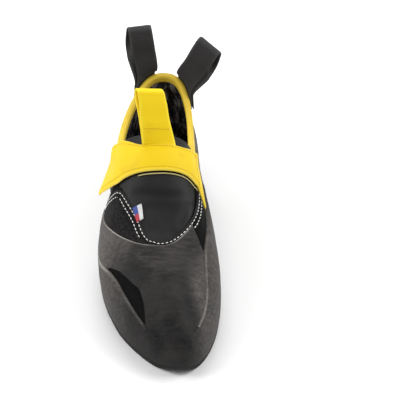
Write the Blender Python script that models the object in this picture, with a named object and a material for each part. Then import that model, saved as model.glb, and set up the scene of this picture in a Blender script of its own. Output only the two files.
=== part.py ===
"""A right-foot climbing shoe: downturned sole, rubber rand, toe patch and heel cup,
hollow upper, stretch instep panel, one closure strap, three pull loops.

Metres, +Z up.  The sole rests on z = 0, the toe points to -Y, the big-toe side is +X.
"""
import bmesh
import bpy
import numpy as np
from mathutils import Vector
from mathutils.bvhtree import BVHTree

MM = 0.001

# Sizes of the whole shoe.
LENGTH = 245.0
BALL_WIDTH = 88.0
HEEL_HEIGHT = 88.0
ARCH_HEIGHT = 17.5
CENTRE_X = 0.1
CENTRE_S = 122.5

# Walls and gaps.
GAP = 0.3
RUBBER_GAP = 0.5
PATCH_GAP = 0.7
LAYER_GAP = 1.1
UPPER_WALL = 1.9
RAND_WALL = 2.2
PATCH_WALL = 1.5
HEEL_WALL = 2.3
PANEL_WALL = 3.0
SOLE_WALL = 4.0
RIM_DROP = 0.5
INSOLE_WALL = 2.0
LASTING_MARGIN = 13.0
STRAP_WALL = 2.0
WEBBING_WALL = 1.3
BINDING_WALL = 1.1
BINDING_DROP = 6.0
TAG_WALL = 0.7
TAG_CLEAR = 0.6
SOLE_BEVEL = 1.2
INSOLE_CLEAR = 0.6
STRAP_LIFT = 4.5
STRAP_CLEAR = 0.8
STRAP_SPREAD = 2.2
CAST_REACH = 100.0
LOOP_SLIT = 0.5
LOOP_CLEAR = 0.3
HEEL_LOOP_LEGS = 11.0
TONGUE_LOOP_LEGS = 3.5
TONGUE_LOOP_CLEAR = 0.8

# Shares without a unit.
PANEL_REACH = 1.15
LOOP_BULGE = 2.8
TONGUE_LOOP_TAPER = 0.76
SEAM = 0.008

# Ends of the pieces, as row numbers of FOOT.
PATCH_FIRST = -4.1
PATCH_LAST = 6.4
CUP_ROWS = 4
RAND_END = 0.012
PANEL_FIRST = 0.9
PANEL_LAST = 7.2
BINDING_START = 7.45

# Label at the throat: row and share across where it starts, steps of each, lines each way.
TAG_PLACE = (4.15, 0.10)
TAG_STEP = (0.28, 0.035)
TAG_LINES = 4

HALF_BALL = BALL_WIDTH / 2

# How finely the curved forms are cut.
STEPS_PER_ROW = 3
UPPER_STEPS = 10

# One row per place around the foot, from the tip of the big toe by the little-toe side
# to the heel and back.  Lengths are shares of LENGTH, sideways sizes are shares of half
# the ball width, heights are shares of HEEL_HEIGHT.
#   edge_s, edge_x    where the wall meets the sole
#   top_s, top_x, top_z   where the wall ends at throat or collar
#   bulge, rise       lower handle of the wall's curve: outward, and up
#   share, drop, swell   upper handle: back toward the edge, down, and outward
FOOT_COLUMNS = ("edge_s", "edge_x", "top_s", "top_x", "top_z",
                "bulge", "rise", "share", "drop", "swell")
FOOT = [
    (0.016, 0.330, 0.306, -0.011, 0.648, 0.091, 0.295, 0.580, 0.148, 0.000),
    (0.039, 0.023, 0.308, -0.114, 0.650, 0.091, 0.307, 0.600, 0.148, 0.000),
    (0.082, -0.250, 0.314, -0.216, 0.653, 0.091, 0.307, 0.620, 0.136, 0.000),
    (0.151, -0.545, 0.327, -0.330, 0.661, 0.091, 0.295, 0.660, 0.125, 0.000),
    (0.257, -0.830, 0.355, -0.455, 0.682, 0.086, 0.273, 0.700, 0.102, 0.000),
    (0.376, -0.943, 0.404, -0.580, 0.710, 0.080, 0.250, 0.720, 0.091, 0.000),
    (0.498, -0.920, 0.482, -0.682, 0.773, 0.068, 0.227, 0.600, 0.148, 0.023),
    (0.633, -0.750, 0.592, -0.705, 0.864, 0.091, 0.205, 0.250, 0.227, 0.045),
    (0.767, -0.602, 0.727, -0.682, 0.773, 0.125, 0.227, 0.250, 0.227, 0.000),
    (0.886, -0.500, 0.841, -0.557, 0.795, 0.148, 0.205, 0.250, 0.250, 0.023),
    (0.955, -0.227, 0.922, -0.261, 0.949, 0.182, 0.159, 0.250, 0.284, 0.045),
    (0.971, 0.045, 0.947, 0.057, 0.989, 0.193, 0.136, 0.250, 0.307, 0.068),
    (0.955, 0.318, 0.922, 0.364, 0.949, 0.182, 0.159, 0.250, 0.284, 0.045),
    (0.886, 0.545, 0.841, 0.518, 0.795, 0.118, 0.205, 0.250, 0.250, 0.023),
    (0.767, 0.591, 0.727, 0.545, 0.773, 0.086, 0.227, 0.250, 0.227, 0.034),
    (0.633, 0.659, 0.592, 0.557, 0.864, 0.080, 0.227, 0.250, 0.227, 0.068),
    (0.498, 0.791, 0.482, 0.591, 0.784, 0.050, 0.250, 0.500, 0.148, 0.045),
    (0.376, 0.898, 0.404, 0.568, 0.722, 0.045, 0.273, 0.580, 0.091, 0.000),
    (0.257, 0.932, 0.355, 0.432, 0.693, 0.036, 0.284, 0.560, 0.102, 0.000),
    (0.151, 0.841, 0.327, 0.284, 0.667, 0.036, 0.284, 0.560, 0.114, 0.000),
    (0.078, 0.693, 0.314, 0.182, 0.656, 0.055, 0.284, 0.560, 0.136, 0.000),
    (0.035, 0.523, 0.308, 0.091, 0.650, 0.077, 0.284, 0.560, 0.148, 0.000),
]
ROWS = len(FOOT)
HEEL_ROW = ROWS // 2

# Under-side of the sole: share of LENGTH, height as a share of ARCH_HEIGHT.
SOLE_PROFILE = [
    (0.000, 0.34), (0.024, 0.08), (0.045, 0.00), (0.155, 0.00), (0.200, 0.15), (0.310, 0.43),
    (0.400, 0.63), (0.461, 0.80), (0.551, 0.97), (0.612, 1.00), (0.686, 0.76), (0.759, 0.31),
    (0.820, 0.00), (0.890, 0.00), (0.951, 0.34), (1.000, 0.78),
]

# Upper limits of the rubber pieces, as shares of the way up the wall, one per row of FOOT.
RAND_TOP = [0.31, 0.30, 0.35, 0.45, 0.44, 0.20, 0.20, 0.27, 0.33, 0.33, 0.33,
            0.33, 0.33, 0.33, 0.36, 0.46, 0.60, 0.65, 0.65, 0.46, 0.37, 0.33]
PATCH_TOP = [0.95, 0.95, 0.95, 0.94, 0.84, 0.69, 0.42, 0.25, 0.40, 0.40, 0.40,
             0.40, 0.40, 0.40, 0.40, 0.60, 0.80, 0.92, 0.95, 0.95, 0.95, 0.95]
HEEL_TOP = [0.50, 0.50, 0.50, 0.50, 0.50, 0.50, 0.50, 0.38, 0.44, 0.60, 0.65,
            0.66, 0.65, 0.60, 0.48, 0.42, 0.50, 0.50, 0.50, 0.50, 0.50, 0.50]

# Lower edge of the toe patch over the window on the little-toe side: row, share up the wall.
WINDOW = [
    (1.60, 0.0), (1.72, 0.36), (1.80, 0.46), (1.95, 0.54), (2.43, 0.62), (3.00, 0.62),
    (3.50, 0.595), (3.90, 0.52), (4.12, 0.45), (4.30, 0.0),
]

# Closure strap from its free end on the little-toe side across the instep: angle off the
# vertical in degrees and share of LENGTH, at the toe-ward edge and at the heel-ward edge.
STRAP = [
    (-79.0, 0.545, -50.0, 0.665), (-58.0, 0.512, -39.0, 0.649), (-38.0, 0.492, -28.0, 0.618),
    (-14.0, 0.488, -13.0, 0.578), (6.0, 0.490, 5.0, 0.582), (24.0, 0.484, 18.0, 0.586),
    (40.0, 0.472, 28.0, 0.604), (50.0, 0.462, 35.0, 0.614), (63.0, 0.447, 41.0, 0.624),
]
STRAP_AXIS_X = 1.0
STRAP_AXIS_Z = 42.0

# Heel loops: name, row of the collar, vector from foot to fold, direction of the width.
HEEL_LOOPS = [
    ("heel_loop_outer", 10.15, (-7.0, 12.0, 41.5), (1.0, 0.10, 0.05)),
    ("heel_loop_inner", 12.15, (20.5, 6.0, 36.0), (0.78, -0.45, -0.42)),
]
HEEL_LOOP_SPAN = 0.9
TONGUE_LOOP_SPAN = 0.30
TONGUE_LOOP_PLACE = 0.54
TONGUE_LOOP_LEAN = (-6.5, 12.0, 40.0)


def monotone(rows, where):
    """Height at `where` on a curve through `rows` that never swings past a row."""
    xs = np.array([row[0] for row in rows])
    ys = np.array([row[1] for row in rows])
    width = np.diff(xs)
    slope = np.diff(ys) / width
    tangent = np.zeros(len(xs))
    for i in range(1, len(xs) - 1):
        if slope[i - 1] * slope[i] > 0:
            tangent[i] = 2 * slope[i - 1] * slope[i] / (slope[i - 1] + slope[i])
    tangent[0] = slope[0]
    tangent[-1] = slope[-1]
    where = min(max(where, xs[0]), xs[-1])
    i = min(int(np.searchsorted(xs, where, side="right")) - 1, len(xs) - 2)
    u = (where - xs[i]) / width[i]
    return float(ys[i] * (1 + 2 * u) * (1 - u) ** 2 + tangent[i] * width[i] * u * (1 - u) ** 2
                 + ys[i + 1] * u * u * (3 - 2 * u) + tangent[i + 1] * width[i] * u * u * (u - 1))


def loop_curvature(values):
    """Second differences of the smooth closed curve through evenly spaced values."""
    count = len(values)
    matrix = np.zeros((count, count))
    for i in range(count):
        matrix[i, i] = 4.0
        matrix[i, (i - 1) % count] = 1.0
        matrix[i, (i + 1) % count] = 1.0
    values = np.asarray(values, dtype=float)
    bend = 6 * (np.roll(values, 1) - 2 * values + np.roll(values, -1))
    return np.linalg.solve(matrix, bend)


class Loop:
    """A smooth closed curve of one value, sampled by row number."""

    def __init__(self, values):
        self.values = np.asarray(values, dtype=float)
        self.curvature = loop_curvature(values)

    def at(self, row):
        count = len(self.values)
        i = int(np.floor(row)) % count
        j = (i + 1) % count
        u = row - np.floor(row)
        v = 1 - u
        return float(v * self.values[i] + u * self.values[j]
                     + ((v ** 3 - v) * self.curvature[i] + (u ** 3 - u) * self.curvature[j]) / 6)


UNITS = dict(edge_s=LENGTH, edge_x=HALF_BALL, top_s=LENGTH, top_x=HALF_BALL, top_z=HEEL_HEIGHT,
             bulge=HALF_BALL, rise=HEEL_HEIGHT, share=1.0, drop=HEEL_HEIGHT, swell=HALF_BALL)
LAST = {name: Loop([row[k] * UNITS[name] for row in FOOT])
        for k, name in enumerate(FOOT_COLUMNS)}
RAND_LOOP = Loop(RAND_TOP)
PATCH_LOOP = Loop(PATCH_TOP)
HEEL_LOOP = Loop(HEEL_TOP)


def sole_z(s):
    """Height of the sole's under-side at distance s from the toe."""
    return ARCH_HEIGHT * monotone(SOLE_PROFILE, s / LENGTH)


def edge(row):
    """Point where the upper's wall meets the sole."""
    s = LAST["edge_s"].at(row)
    return np.array([LAST["edge_x"].at(row), s, sole_z(s) + SOLE_WALL + GAP])


def outward(row):
    """Level direction that points away from the foot at the edge."""
    ahead = edge(row + 0.05) - edge(row - 0.05)
    side = np.array([-ahead[1], ahead[0], 0.0])
    return side / np.linalg.norm(side)


def topline(row):
    """Point where the wall ends."""
    return np.array([LAST["top_x"].at(row), LAST["top_s"].at(row), LAST["top_z"].at(row)])


def wall(row, t):
    """Point of the upper's outer surface: t = 0 at the sole, 1 at throat or collar."""
    low = edge(row)
    high = topline(row)
    away = outward(row)
    first = low + away * LAST["bulge"].at(row) + np.array([0, 0, LAST["rise"].at(row)])
    second = high + (low - high) * np.array([1, 1, 0]) * LAST["share"].at(row)
    second = second + away * LAST["swell"].at(row) - np.array([0, 0, LAST["drop"].at(row)])
    u = 1 - t
    return u ** 3 * low + 3 * u * u * t * first + 3 * u * t * t * second + t ** 3 * high


def wall_normal(row, t):
    """Outward normal of that surface."""
    around = wall(row + 0.04, t) - wall(row - 0.04, t)
    up = wall(row, min(t + 0.02, 1.0)) - wall(row, max(t - 0.02, 0.0))
    normal = np.cross(up, around)
    return normal / np.linalg.norm(normal)


def skin(row, t, depth):
    """Point at `depth` outside the upper's outer surface, cut level at the sole."""
    normal = wall_normal(row, t)
    if t > 0:
        return wall(row, t) + normal * depth
    level = normal * np.array([1, 1, 0])
    point = edge(row) + level / np.dot(level, level) * depth
    point[2] = sole_z(point[1]) + SOLE_WALL + GAP
    return point


def to_world(point):
    """From last coordinates (x, s, z in mm) to metres in the part's frame."""
    return Vector(((point[0] - CENTRE_X) * MM, (point[1] - CENTRE_S) * MM, point[2] * MM))


def material(name, colour, roughness, metallic=0.0):
    """Plain material of one colour."""
    mat = bpy.data.materials.new(name)
    mat.use_nodes = True
    shader = mat.node_tree.nodes["Principled BSDF"]
    shader.inputs["Base Color"].default_value = (*colour, 1.0)
    shader.inputs["Roughness"].default_value = roughness
    shader.inputs["Metallic"].default_value = metallic
    return mat


def body(name, points, faces, mat):
    """Named object made of one closed, outward-facing mesh."""
    mesh = bpy.data.meshes.new(name)
    mesh.from_pydata([to_world(p) for p in points], [], faces)
    bm = bmesh.new()
    bm.from_mesh(mesh)
    bmesh.ops.remove_doubles(bm, verts=bm.verts, dist=1e-7)
    bmesh.ops.dissolve_degenerate(bm, dist=1e-7, edges=bm.edges)
    bmesh.ops.recalc_face_normals(bm, faces=bm.faces)
    if bm.calc_volume(signed=True) < 0:
        bmesh.ops.reverse_faces(bm, faces=bm.faces)
    bm.to_mesh(mesh)
    bm.free()
    mesh.materials.append(mat)
    obj = bpy.data.objects.new(name, mesh)
    bpy.context.collection.objects.link(obj)
    mesh.shade_smooth()
    mesh.set_sharp_from_angle(angle=np.radians(38))
    return obj


def slab(name, front, back, mat, ring=False):
    """Body between two grids of points; `ring` joins the last column to the first."""
    columns = len(front)
    rows = len(front[0])
    points = [p for column in front for p in column] + [p for column in back for p in column]
    half = columns * rows
    faces = []
    spans = columns if ring else columns - 1
    for i in range(spans):
        a = i * rows
        b = ((i + 1) % columns) * rows
        for j in range(rows - 1):
            faces.append((a + j, b + j, b + j + 1, a + j + 1))
            faces.append((half + a + j, half + a + j + 1, half + b + j + 1, half + b + j))
        faces.append((a, half + a, half + b, b))
        faces.append((a + rows - 1, b + rows - 1, half + b + rows - 1, half + a + rows - 1))
    if not ring:
        last = (columns - 1) * rows
        for j in range(rows - 1):
            faces.append((j, j + 1, half + j + 1, half + j))
            faces.append((last + j, half + last + j, half + last + j + 1, last + j + 1))
    return body(name, points, faces, mat)


def sweep(name, sections, mat):
    """Body along a row of closed sections, capped at both ends."""
    count = len(sections[0])
    points = [p for section in sections for p in section]
    faces = []
    for i in range(len(sections) - 1):
        a = i * count
        b = a + count
        for j in range(count):
            k = (j + 1) % count
            faces.append((a + j, b + j, b + k, a + k))
    faces.append(tuple(range(count)))
    faces.append(tuple(range((len(sections) - 1) * count, len(sections) * count)))
    return body(name, points, faces, mat)


def ring_rows():
    """Row numbers all the way round, evenly spread."""
    return [k / STEPS_PER_ROW for k in range(ROWS * STEPS_PER_ROW)]


def span(first, last, steps=STEPS_PER_ROW):
    """Row numbers from first to last on the same lines as the ring."""
    inner = [k / steps for k in range(int(np.ceil(first * steps)) - 1,
                                      int(np.floor(last * steps)) + 2)]
    inner = [r for r in inner if first + 0.08 < r < last - 0.08]
    return [first] + inner + [last]


def build_upper(mat):
    """Hollow upper: lasting margin under the foot, wall up to throat and collar."""
    front = []
    back = []
    for row in ring_rows():
        low = edge(row)
        inward = -outward(row)
        flaps = []
        for share in (1.0, 0.66, 0.33):
            flap = low + inward * LASTING_MARGIN * share
            flap[2] = sole_z(flap[1]) + SOLE_WALL + LAYER_GAP
            flaps.append(flap)
        lift = np.array([0, 0, UPPER_WALL])
        outer = flaps + [wall(row, k / UPPER_STEPS) for k in range(UPPER_STEPS + 1)]
        corner = low + inward * UPPER_WALL + lift
        inner = [flap + lift for flap in flaps] + [corner]
        for k in range(1, UPPER_STEPS + 1):
            inner.append(skin(row, k / UPPER_STEPS, -UPPER_WALL))
        front.append(outer)
        back.append(inner)
    return slab("upper", front, back, mat, ring=True)


def rubber(name, rows, bottom, top, depth, thick, steps, mat, ring=False):
    """Rubber sheet lying `depth` off the upper, between two heights on the wall."""
    front = []
    back = []
    for row in rows:
        low = bottom(row)
        high = top(row)
        heights = [low + (high - low) * k / steps for k in range(steps + 1)]
        back.append([skin(row, t, depth) for t in heights])
        front.append([skin(row, t, depth + thick) for t in heights])
    return slab(name, front, back, mat, ring)


def build_sole(mat):
    """Outsole with a rounded lower edge and two flat spots on the ground plane."""
    out = RAND_WALL + RUBBER_GAP
    shares = (0.0, 0.07, 0.2, 0.4, 0.6, 0.8, 0.93, 1.0)
    top = []
    bottom = []
    for k in range(HEEL_ROW * STEPS_PER_ROW + 1):
        row = k / STEPS_PER_ROW
        left = edge(row) + outward(row) * out
        right = edge(-row) + outward(-row) * out
        left_low = edge(row) + outward(row) * (out - SOLE_BEVEL)
        right_low = edge(-row) + outward(-row) * (out - SOLE_BEVEL)
        upper_line = []
        lower_line = []
        for u in shares:
            p = left * (1 - u) + right * u
            rim = RIM_DROP if u in (0.0, 1.0) or row in (0, HEEL_ROW) else 0.0
            upper_line.append(np.array([p[0], p[1], sole_z(p[1]) + SOLE_WALL - rim]))
            q = left_low * (1 - u) + right_low * u
            lower_line.append(np.array([q[0], q[1], sole_z(q[1])]))
        top.append(upper_line)
        bottom.append(lower_line)
    return slab("outsole", top, bottom, mat)


def build_insole(mat):
    """Thin board inside the upper, over its lasting margin."""
    inset = UPPER_WALL + LAYER_GAP + INSOLE_CLEAR
    across = 4
    top = []
    bottom = []
    base = SOLE_WALL + UPPER_WALL + 2 * LAYER_GAP
    for k in range(1, HEEL_ROW * STEPS_PER_ROW):
        row = k / STEPS_PER_ROW
        left = edge(row) - outward(row) * inset
        right = edge(-row) - outward(-row) * inset
        lines = [left * (1 - j / across) + right * j / across for j in range(across + 1)]
        bottom.append([np.array([p[0], p[1], sole_z(p[1]) + base]) for p in lines])
        top.append([np.array([p[0], p[1], sole_z(p[1]) + base + INSOLE_WALL]) for p in lines])
    return slab("insole", top, bottom, mat)


def arch(row, u, depth):
    """Point on the instep panel: u = 0 at the outer side of the throat, 1 at the inner."""
    left = topline(row)
    right = topline(-row)
    reach = np.linalg.norm(right - left)
    lean_left = wall(row, 1.0) - wall(row, 0.96)
    lean_right = wall(-row, 1.0) - wall(-row, 0.96)
    lean_left = lean_left / np.linalg.norm(lean_left) * reach * PANEL_REACH
    lean_right = lean_right / np.linalg.norm(lean_right) * reach * PANEL_REACH
    v = 1 - u
    point = (v * v * (1 + 2 * u) * left + u * v * v * lean_left
             + u * u * (1 + 2 * v) * right + u * u * v * lean_right)
    return point + np.array([0, 0, depth])


def build_panel(mat):
    """Stretch instep panel: fills the throat, its margin tucked under the upper."""
    tuck = UPPER_WALL + GAP + 0.1
    across = 10
    steps = 12
    front = []
    back = []
    for k in range(steps + 1):
        row = PANEL_FIRST + (PANEL_LAST - PANEL_FIRST) * k / steps
        outer = []
        inner = []
        for t in (0.90, 1.0):
            outer.append(skin(row, t, -tuck))
            inner.append(skin(row, t, -tuck - PANEL_WALL))
        for j in range(1, across):
            u = j / across
            rise = 1 - (2 * u - 1) ** 4
            outer.append(arch(row, u, -tuck * (1 - rise)))
            inner.append(arch(row, u, -tuck * (1 - rise) - PANEL_WALL))
        for t in (1.0, 0.90):
            outer.append(skin(-row, t, -tuck))
            inner.append(skin(-row, t, -tuck - PANEL_WALL))
        front.append(outer)
        back.append(inner)
    return slab("tongue", front, back, mat)


def patch_bottom(row):
    """Lower edge of the toe patch: along the rand, and over the window."""
    seam = RAND_LOOP.at(row) + SEAM
    if WINDOW[0][0] < row < WINDOW[-1][0]:
        return max(seam, monotone(WINDOW, row))
    return seam


def hug(trees, angle, s):
    """Distance from the strap's axis to the outermost surface near one angle and station."""
    best = 0.0
    reach = CAST_REACH * MM
    for turn, shift in ((0, 0), (0.05, 0), (-0.05, 0), (0, STRAP_SPREAD), (0, -STRAP_SPREAD)):
        ray = Vector((np.sin(angle + turn), 0.0, np.cos(angle + turn)))
        axis = to_world((STRAP_AXIS_X, s + shift, STRAP_AXIS_Z))
        for tree in trees:
            hit = tree.ray_cast(axis + ray * reach, -ray, reach * 0.85)
            if hit[0] is not None:
                best = max(best, (hit[0] - axis).length / MM)
    return best


def build_strap(under, mat):
    """Strap laid over the instep, its free end pointed and slightly raised."""
    graph = bpy.context.evaluated_depsgraph_get()
    trees = [BVHTree.FromObject(obj, graph) for obj in under]
    along = 26
    across = 5
    table = np.array(STRAP)
    keys = np.arange(len(STRAP))
    angles = []
    places = []
    radii = []
    for i in range(along + 1):
        key = i / along * (len(STRAP) - 1)
        values = [np.interp(key, keys, table[:, c]) for c in range(4)]
        angle_line = []
        place_line = []
        radius_line = []
        for j in range(across + 1):
            v = j / across
            angle = np.radians(values[0] * (1 - v) + values[2] * v)
            s = (values[1] * (1 - v) + values[3] * v) * LENGTH
            radius = hug(trees, angle, s)
            if radius == 0.0 and radius_line:
                radius = radius_line[-1]
            angle_line.append(angle)
            place_line.append(s)
            radius_line.append(radius)
        angles.append(angle_line)
        places.append(place_line)
        radii.append(radius_line)
    radii = np.array(radii)
    smooth = radii.copy()
    for _ in range(3):
        pad = np.pad(smooth, 1, mode="edge")
        smooth = (pad[:-2, 1:-1] + pad[2:, 1:-1] + pad[1:-1, :-2] + pad[1:-1, 2:]
                  + 2 * pad[1:-1, 1:-1]) / 6
        smooth = np.maximum(smooth, radii)
    front = []
    back = []
    for i in range(along + 1):
        lift = STRAP_LIFT * max(0.0, 1 - i / (0.2 * along))
        outer = []
        inner = []
        for j in range(across + 1):
            ray = np.array([np.sin(angles[i][j]), 0.0, np.cos(angles[i][j])])
            start = np.array([STRAP_AXIS_X, places[i][j], STRAP_AXIS_Z])
            base = smooth[i][j] + STRAP_CLEAR + lift
            inner.append(start + ray * base)
            outer.append(start + ray * (base + STRAP_WALL))
        front.append(outer)
        back.append(inner)
    return slab("strap", front, back, mat)


def build_binding(mat):
    """Folded tape round the collar, from one end of the strap to the other."""
    sections = []
    for row in span(BINDING_START, ROWS - BINDING_START):
        end, out, down = rim_frame(row)
        near = GAP
        far = -UPPER_WALL - GAP
        skin_depth = BINDING_WALL
        shape = [(BINDING_DROP, near), (-GAP, near), (-GAP, far), (BINDING_DROP, far),
                 (BINDING_DROP, far - skin_depth), (0.2, far - skin_depth),
                 (-GAP - skin_depth, far), (-GAP - skin_depth, near), (0.2, near + skin_depth),
                 (BINDING_DROP, near + skin_depth)]
        sections.append([end + down * d + out * o for d, o in shape])
    return sweep("collar_binding", sections, mat)


def rim_frame(row):
    """End of the wall at one row with its outward and downward directions."""
    end = topline(row)
    down = wall(row, 0.95) - end
    down = down / np.linalg.norm(down)
    out = wall_normal(row, 0.99)
    out = out - down * np.dot(out, down)
    return end, out / np.linalg.norm(out), down


def panel_frame(u):
    """End of the instep panel at share u across, with outward and downward directions."""
    end = arch(PANEL_LAST, u, 0.0)
    down = arch(PANEL_LAST - 0.2, u, 0.0) - end
    down = down / np.linalg.norm(down)
    side = arch(PANEL_LAST, u + 0.02, 0.0) - arch(PANEL_LAST, u - 0.02, 0.0)
    out = np.cross(side, down)
    if out[2] < 0:
        out = -out
    return end, out / np.linalg.norm(out), down


def fold(name, frames, lean, across, taper, foot_gap, half_wall, legs, mat, outside=0.0):
    """Webbing folded into a loop and sewn to an edge.

    Its two legs lie `foot_gap` either side of a line `outside` the middle of the edge.
    """
    middle = frames[len(frames) // 2]
    base = middle[0] - middle[1] * half_wall
    width = np.linalg.norm(frames[-1][0] - frames[0][0])
    height = np.linalg.norm(lean)
    up = lean / height
    side = across / np.linalg.norm(across)
    out = np.cross(up, side)
    out = out / np.linalg.norm(out)
    if np.dot(out, middle[1]) < 0:
        out = -out
    neck = WEBBING_WALL / 2 + LOOP_SLIT
    wide = neck * LOOP_BULGE
    # outward offset, height, how closely the point follows the edge it is sewn to
    half = [(foot_gap, -legs, 1.0), (foot_gap, -legs * 0.4, 1.0), (foot_gap, 1.5, 1.0),
            (0.6 * foot_gap + 0.4 * neck, 6.0, 0.6), (neck, 12.0, 0.25), (neck, height * 0.5, 0.0),
            (wide, height * 0.8, 0.0), (wide, height - 2.6, 0.0), (wide * 0.6, height - 0.7, 0.0)]
    path = [(-q, h, b) for q, h, b in half] + [(0.0, height, 0.0)] + half[::-1]
    front = []
    back = []
    for k, (offset, high, follow) in enumerate(path):
        before = path[max(k - 1, 0)]
        after = path[min(k + 1, len(path) - 1)]
        step = np.array([after[0] - before[0], after[1] - before[1]])
        step = step / np.linalg.norm(step)
        turn = np.array([-step[1], step[0]]) * WEBBING_WALL / 2
        for line, sign in ((front, 1), (back, -1)):
            q = offset + sign * turn[0] + outside * follow
            h = high + sign * turn[1]
            column = []
            for i, (end, rim_out, down) in enumerate(frames):
                w = i / (len(frames) - 1) - 0.5
                narrow = 1 - (1 - taper) * max(h, 0) / height
                straight = base + side * width * w * narrow + out * q + up * h
                sewn = end + rim_out * (q - half_wall) - down * h
                column.append(sewn * follow + straight * (1 - follow))
            line.append(column)
    return slab(name, front, back, mat)


def build_tag(mat):
    """Small woven tag at the edge of the throat on the little-toe side."""
    front = []
    back = []
    for i in range(TAG_LINES):
        row = TAG_PLACE[0] + i * TAG_STEP[0]
        shares = [TAG_PLACE[1] + j * TAG_STEP[1] for j in range(TAG_LINES)]
        back.append([arch(row, u, TAG_CLEAR) for u in shares])
        front.append([arch(row, u, TAG_CLEAR + TAG_WALL) for u in shares])
    return slab("tag", front, back, mat)


def main():
    """Builds every piece of the shoe."""
    for old in list(bpy.data.objects):
        bpy.data.objects.remove(old)
    rubber_mat = material("rubber", (0.060, 0.058, 0.056), 0.55)
    suede = material("suede", (0.014, 0.014, 0.015), 0.95)
    neoprene = material("neoprene", (0.020, 0.019, 0.019), 0.60)
    board = material("board", (0.05, 0.05, 0.05), 0.8)
    build_sole(rubber_mat)
    build_insole(board)
    build_upper(suede)
    build_panel(neoprene)
    rand_end = HEEL_ROW - CUP_ROWS - RAND_END
    patch_rows = span(PATCH_FIRST, PATCH_LAST, 2 * STEPS_PER_ROW)
    seam_rows = [row for row in patch_rows if 3 < row < PATCH_LAST]
    rand_rows = sorted({round(row, 6) for row in span(-rand_end, rand_end) + seam_rows})
    rubber("rand", rand_rows, lambda row: 0.0, RAND_LOOP.at, RUBBER_GAP, RAND_WALL, 4, rubber_mat)
    rubber("heel_cup", span(HEEL_ROW - CUP_ROWS, HEEL_ROW + CUP_ROWS), lambda row: 0.0,
           HEEL_LOOP.at, RUBBER_GAP, HEEL_WALL, 5, rubber_mat)
    rubber("toe_patch", patch_rows, patch_bottom, PATCH_LOOP.at, PATCH_GAP, PATCH_WALL, 6,
           rubber_mat)
    upper = bpy.data.objects["upper"]
    tongue = bpy.data.objects["tongue"]
    rand = bpy.data.objects["rand"]
    yellow = material("yellow_webbing", (0.86, 0.67, 0.02), 0.7)
    black = material("black_webbing", (0.012, 0.012, 0.013), 0.85)
    binding = build_binding(yellow)
    build_strap([upper, tongue, rand, binding], yellow)
    foot_gap = (WEBBING_WALL + LOOP_CLEAR) / 2
    outside = UPPER_WALL / 2 + BINDING_WALL + GAP * 2 + WEBBING_WALL + LOOP_CLEAR * 1.5
    shares = (-0.5, -0.25, 0, 0.25, 0.5)
    for name, row, lean, across in HEEL_LOOPS:
        frames = [rim_frame(row + share * HEEL_LOOP_SPAN) for share in shares]
        fold(name, frames, np.array(lean), np.array(across), 1.0, foot_gap, UPPER_WALL / 2,
             HEEL_LOOP_LEGS, black, outside)
    frames = [panel_frame(TONGUE_LOOP_PLACE + share * TONGUE_LOOP_SPAN) for share in shares]
    fold("tongue_loop", frames, np.array(TONGUE_LOOP_LEAN), np.array([1.0, 0.0, 0.0]),
         TONGUE_LOOP_TAPER, PANEL_WALL / 2 + WEBBING_WALL / 2 + GAP + TONGUE_LOOP_CLEAR,
         PANEL_WALL / 2, TONGUE_LOOP_LEGS, yellow)
    build_tag(black)


main()
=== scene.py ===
"""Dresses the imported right-foot climbing shoe: rubber, suede, neoprene, tapes and stitching.

Every visible piece is rebuilt finely over its CAD node, from the same last and the same
sizes as the part's source, and the node is kept for collision.  Lengths are millimetres in
last coordinates (x to the big-toe side, s from toe to heel, z up) until a mesh is written.
"""
from __future__ import annotations

import logging
import math
from collections.abc import Callable, Sequence
from dataclasses import dataclass, field
from enum import Enum

import bmesh
import bpy
import numpy as np
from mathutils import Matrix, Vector
from mathutils.bvhtree import BVHTree

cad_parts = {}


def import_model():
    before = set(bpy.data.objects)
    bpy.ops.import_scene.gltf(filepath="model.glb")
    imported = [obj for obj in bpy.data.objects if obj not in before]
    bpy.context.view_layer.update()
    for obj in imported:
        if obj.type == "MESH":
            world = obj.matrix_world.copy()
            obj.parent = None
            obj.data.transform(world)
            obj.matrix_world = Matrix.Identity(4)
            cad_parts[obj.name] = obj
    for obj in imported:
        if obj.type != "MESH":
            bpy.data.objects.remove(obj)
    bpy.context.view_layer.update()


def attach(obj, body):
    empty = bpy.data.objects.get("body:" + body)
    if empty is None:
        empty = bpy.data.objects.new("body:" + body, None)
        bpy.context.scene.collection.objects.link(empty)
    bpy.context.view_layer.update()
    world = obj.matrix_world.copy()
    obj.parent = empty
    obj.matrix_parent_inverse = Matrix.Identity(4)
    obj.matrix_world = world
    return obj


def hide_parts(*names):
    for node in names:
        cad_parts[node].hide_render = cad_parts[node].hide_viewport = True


LOG = logging.getLogger("climbing_shoe")
MM = 0.001
Grid = np.ndarray

FOOT_COLUMNS = ("edge_s", "edge_x", "top_s", "top_x", "top_z",
                "bulge", "rise", "share", "drop", "swell")
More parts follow.
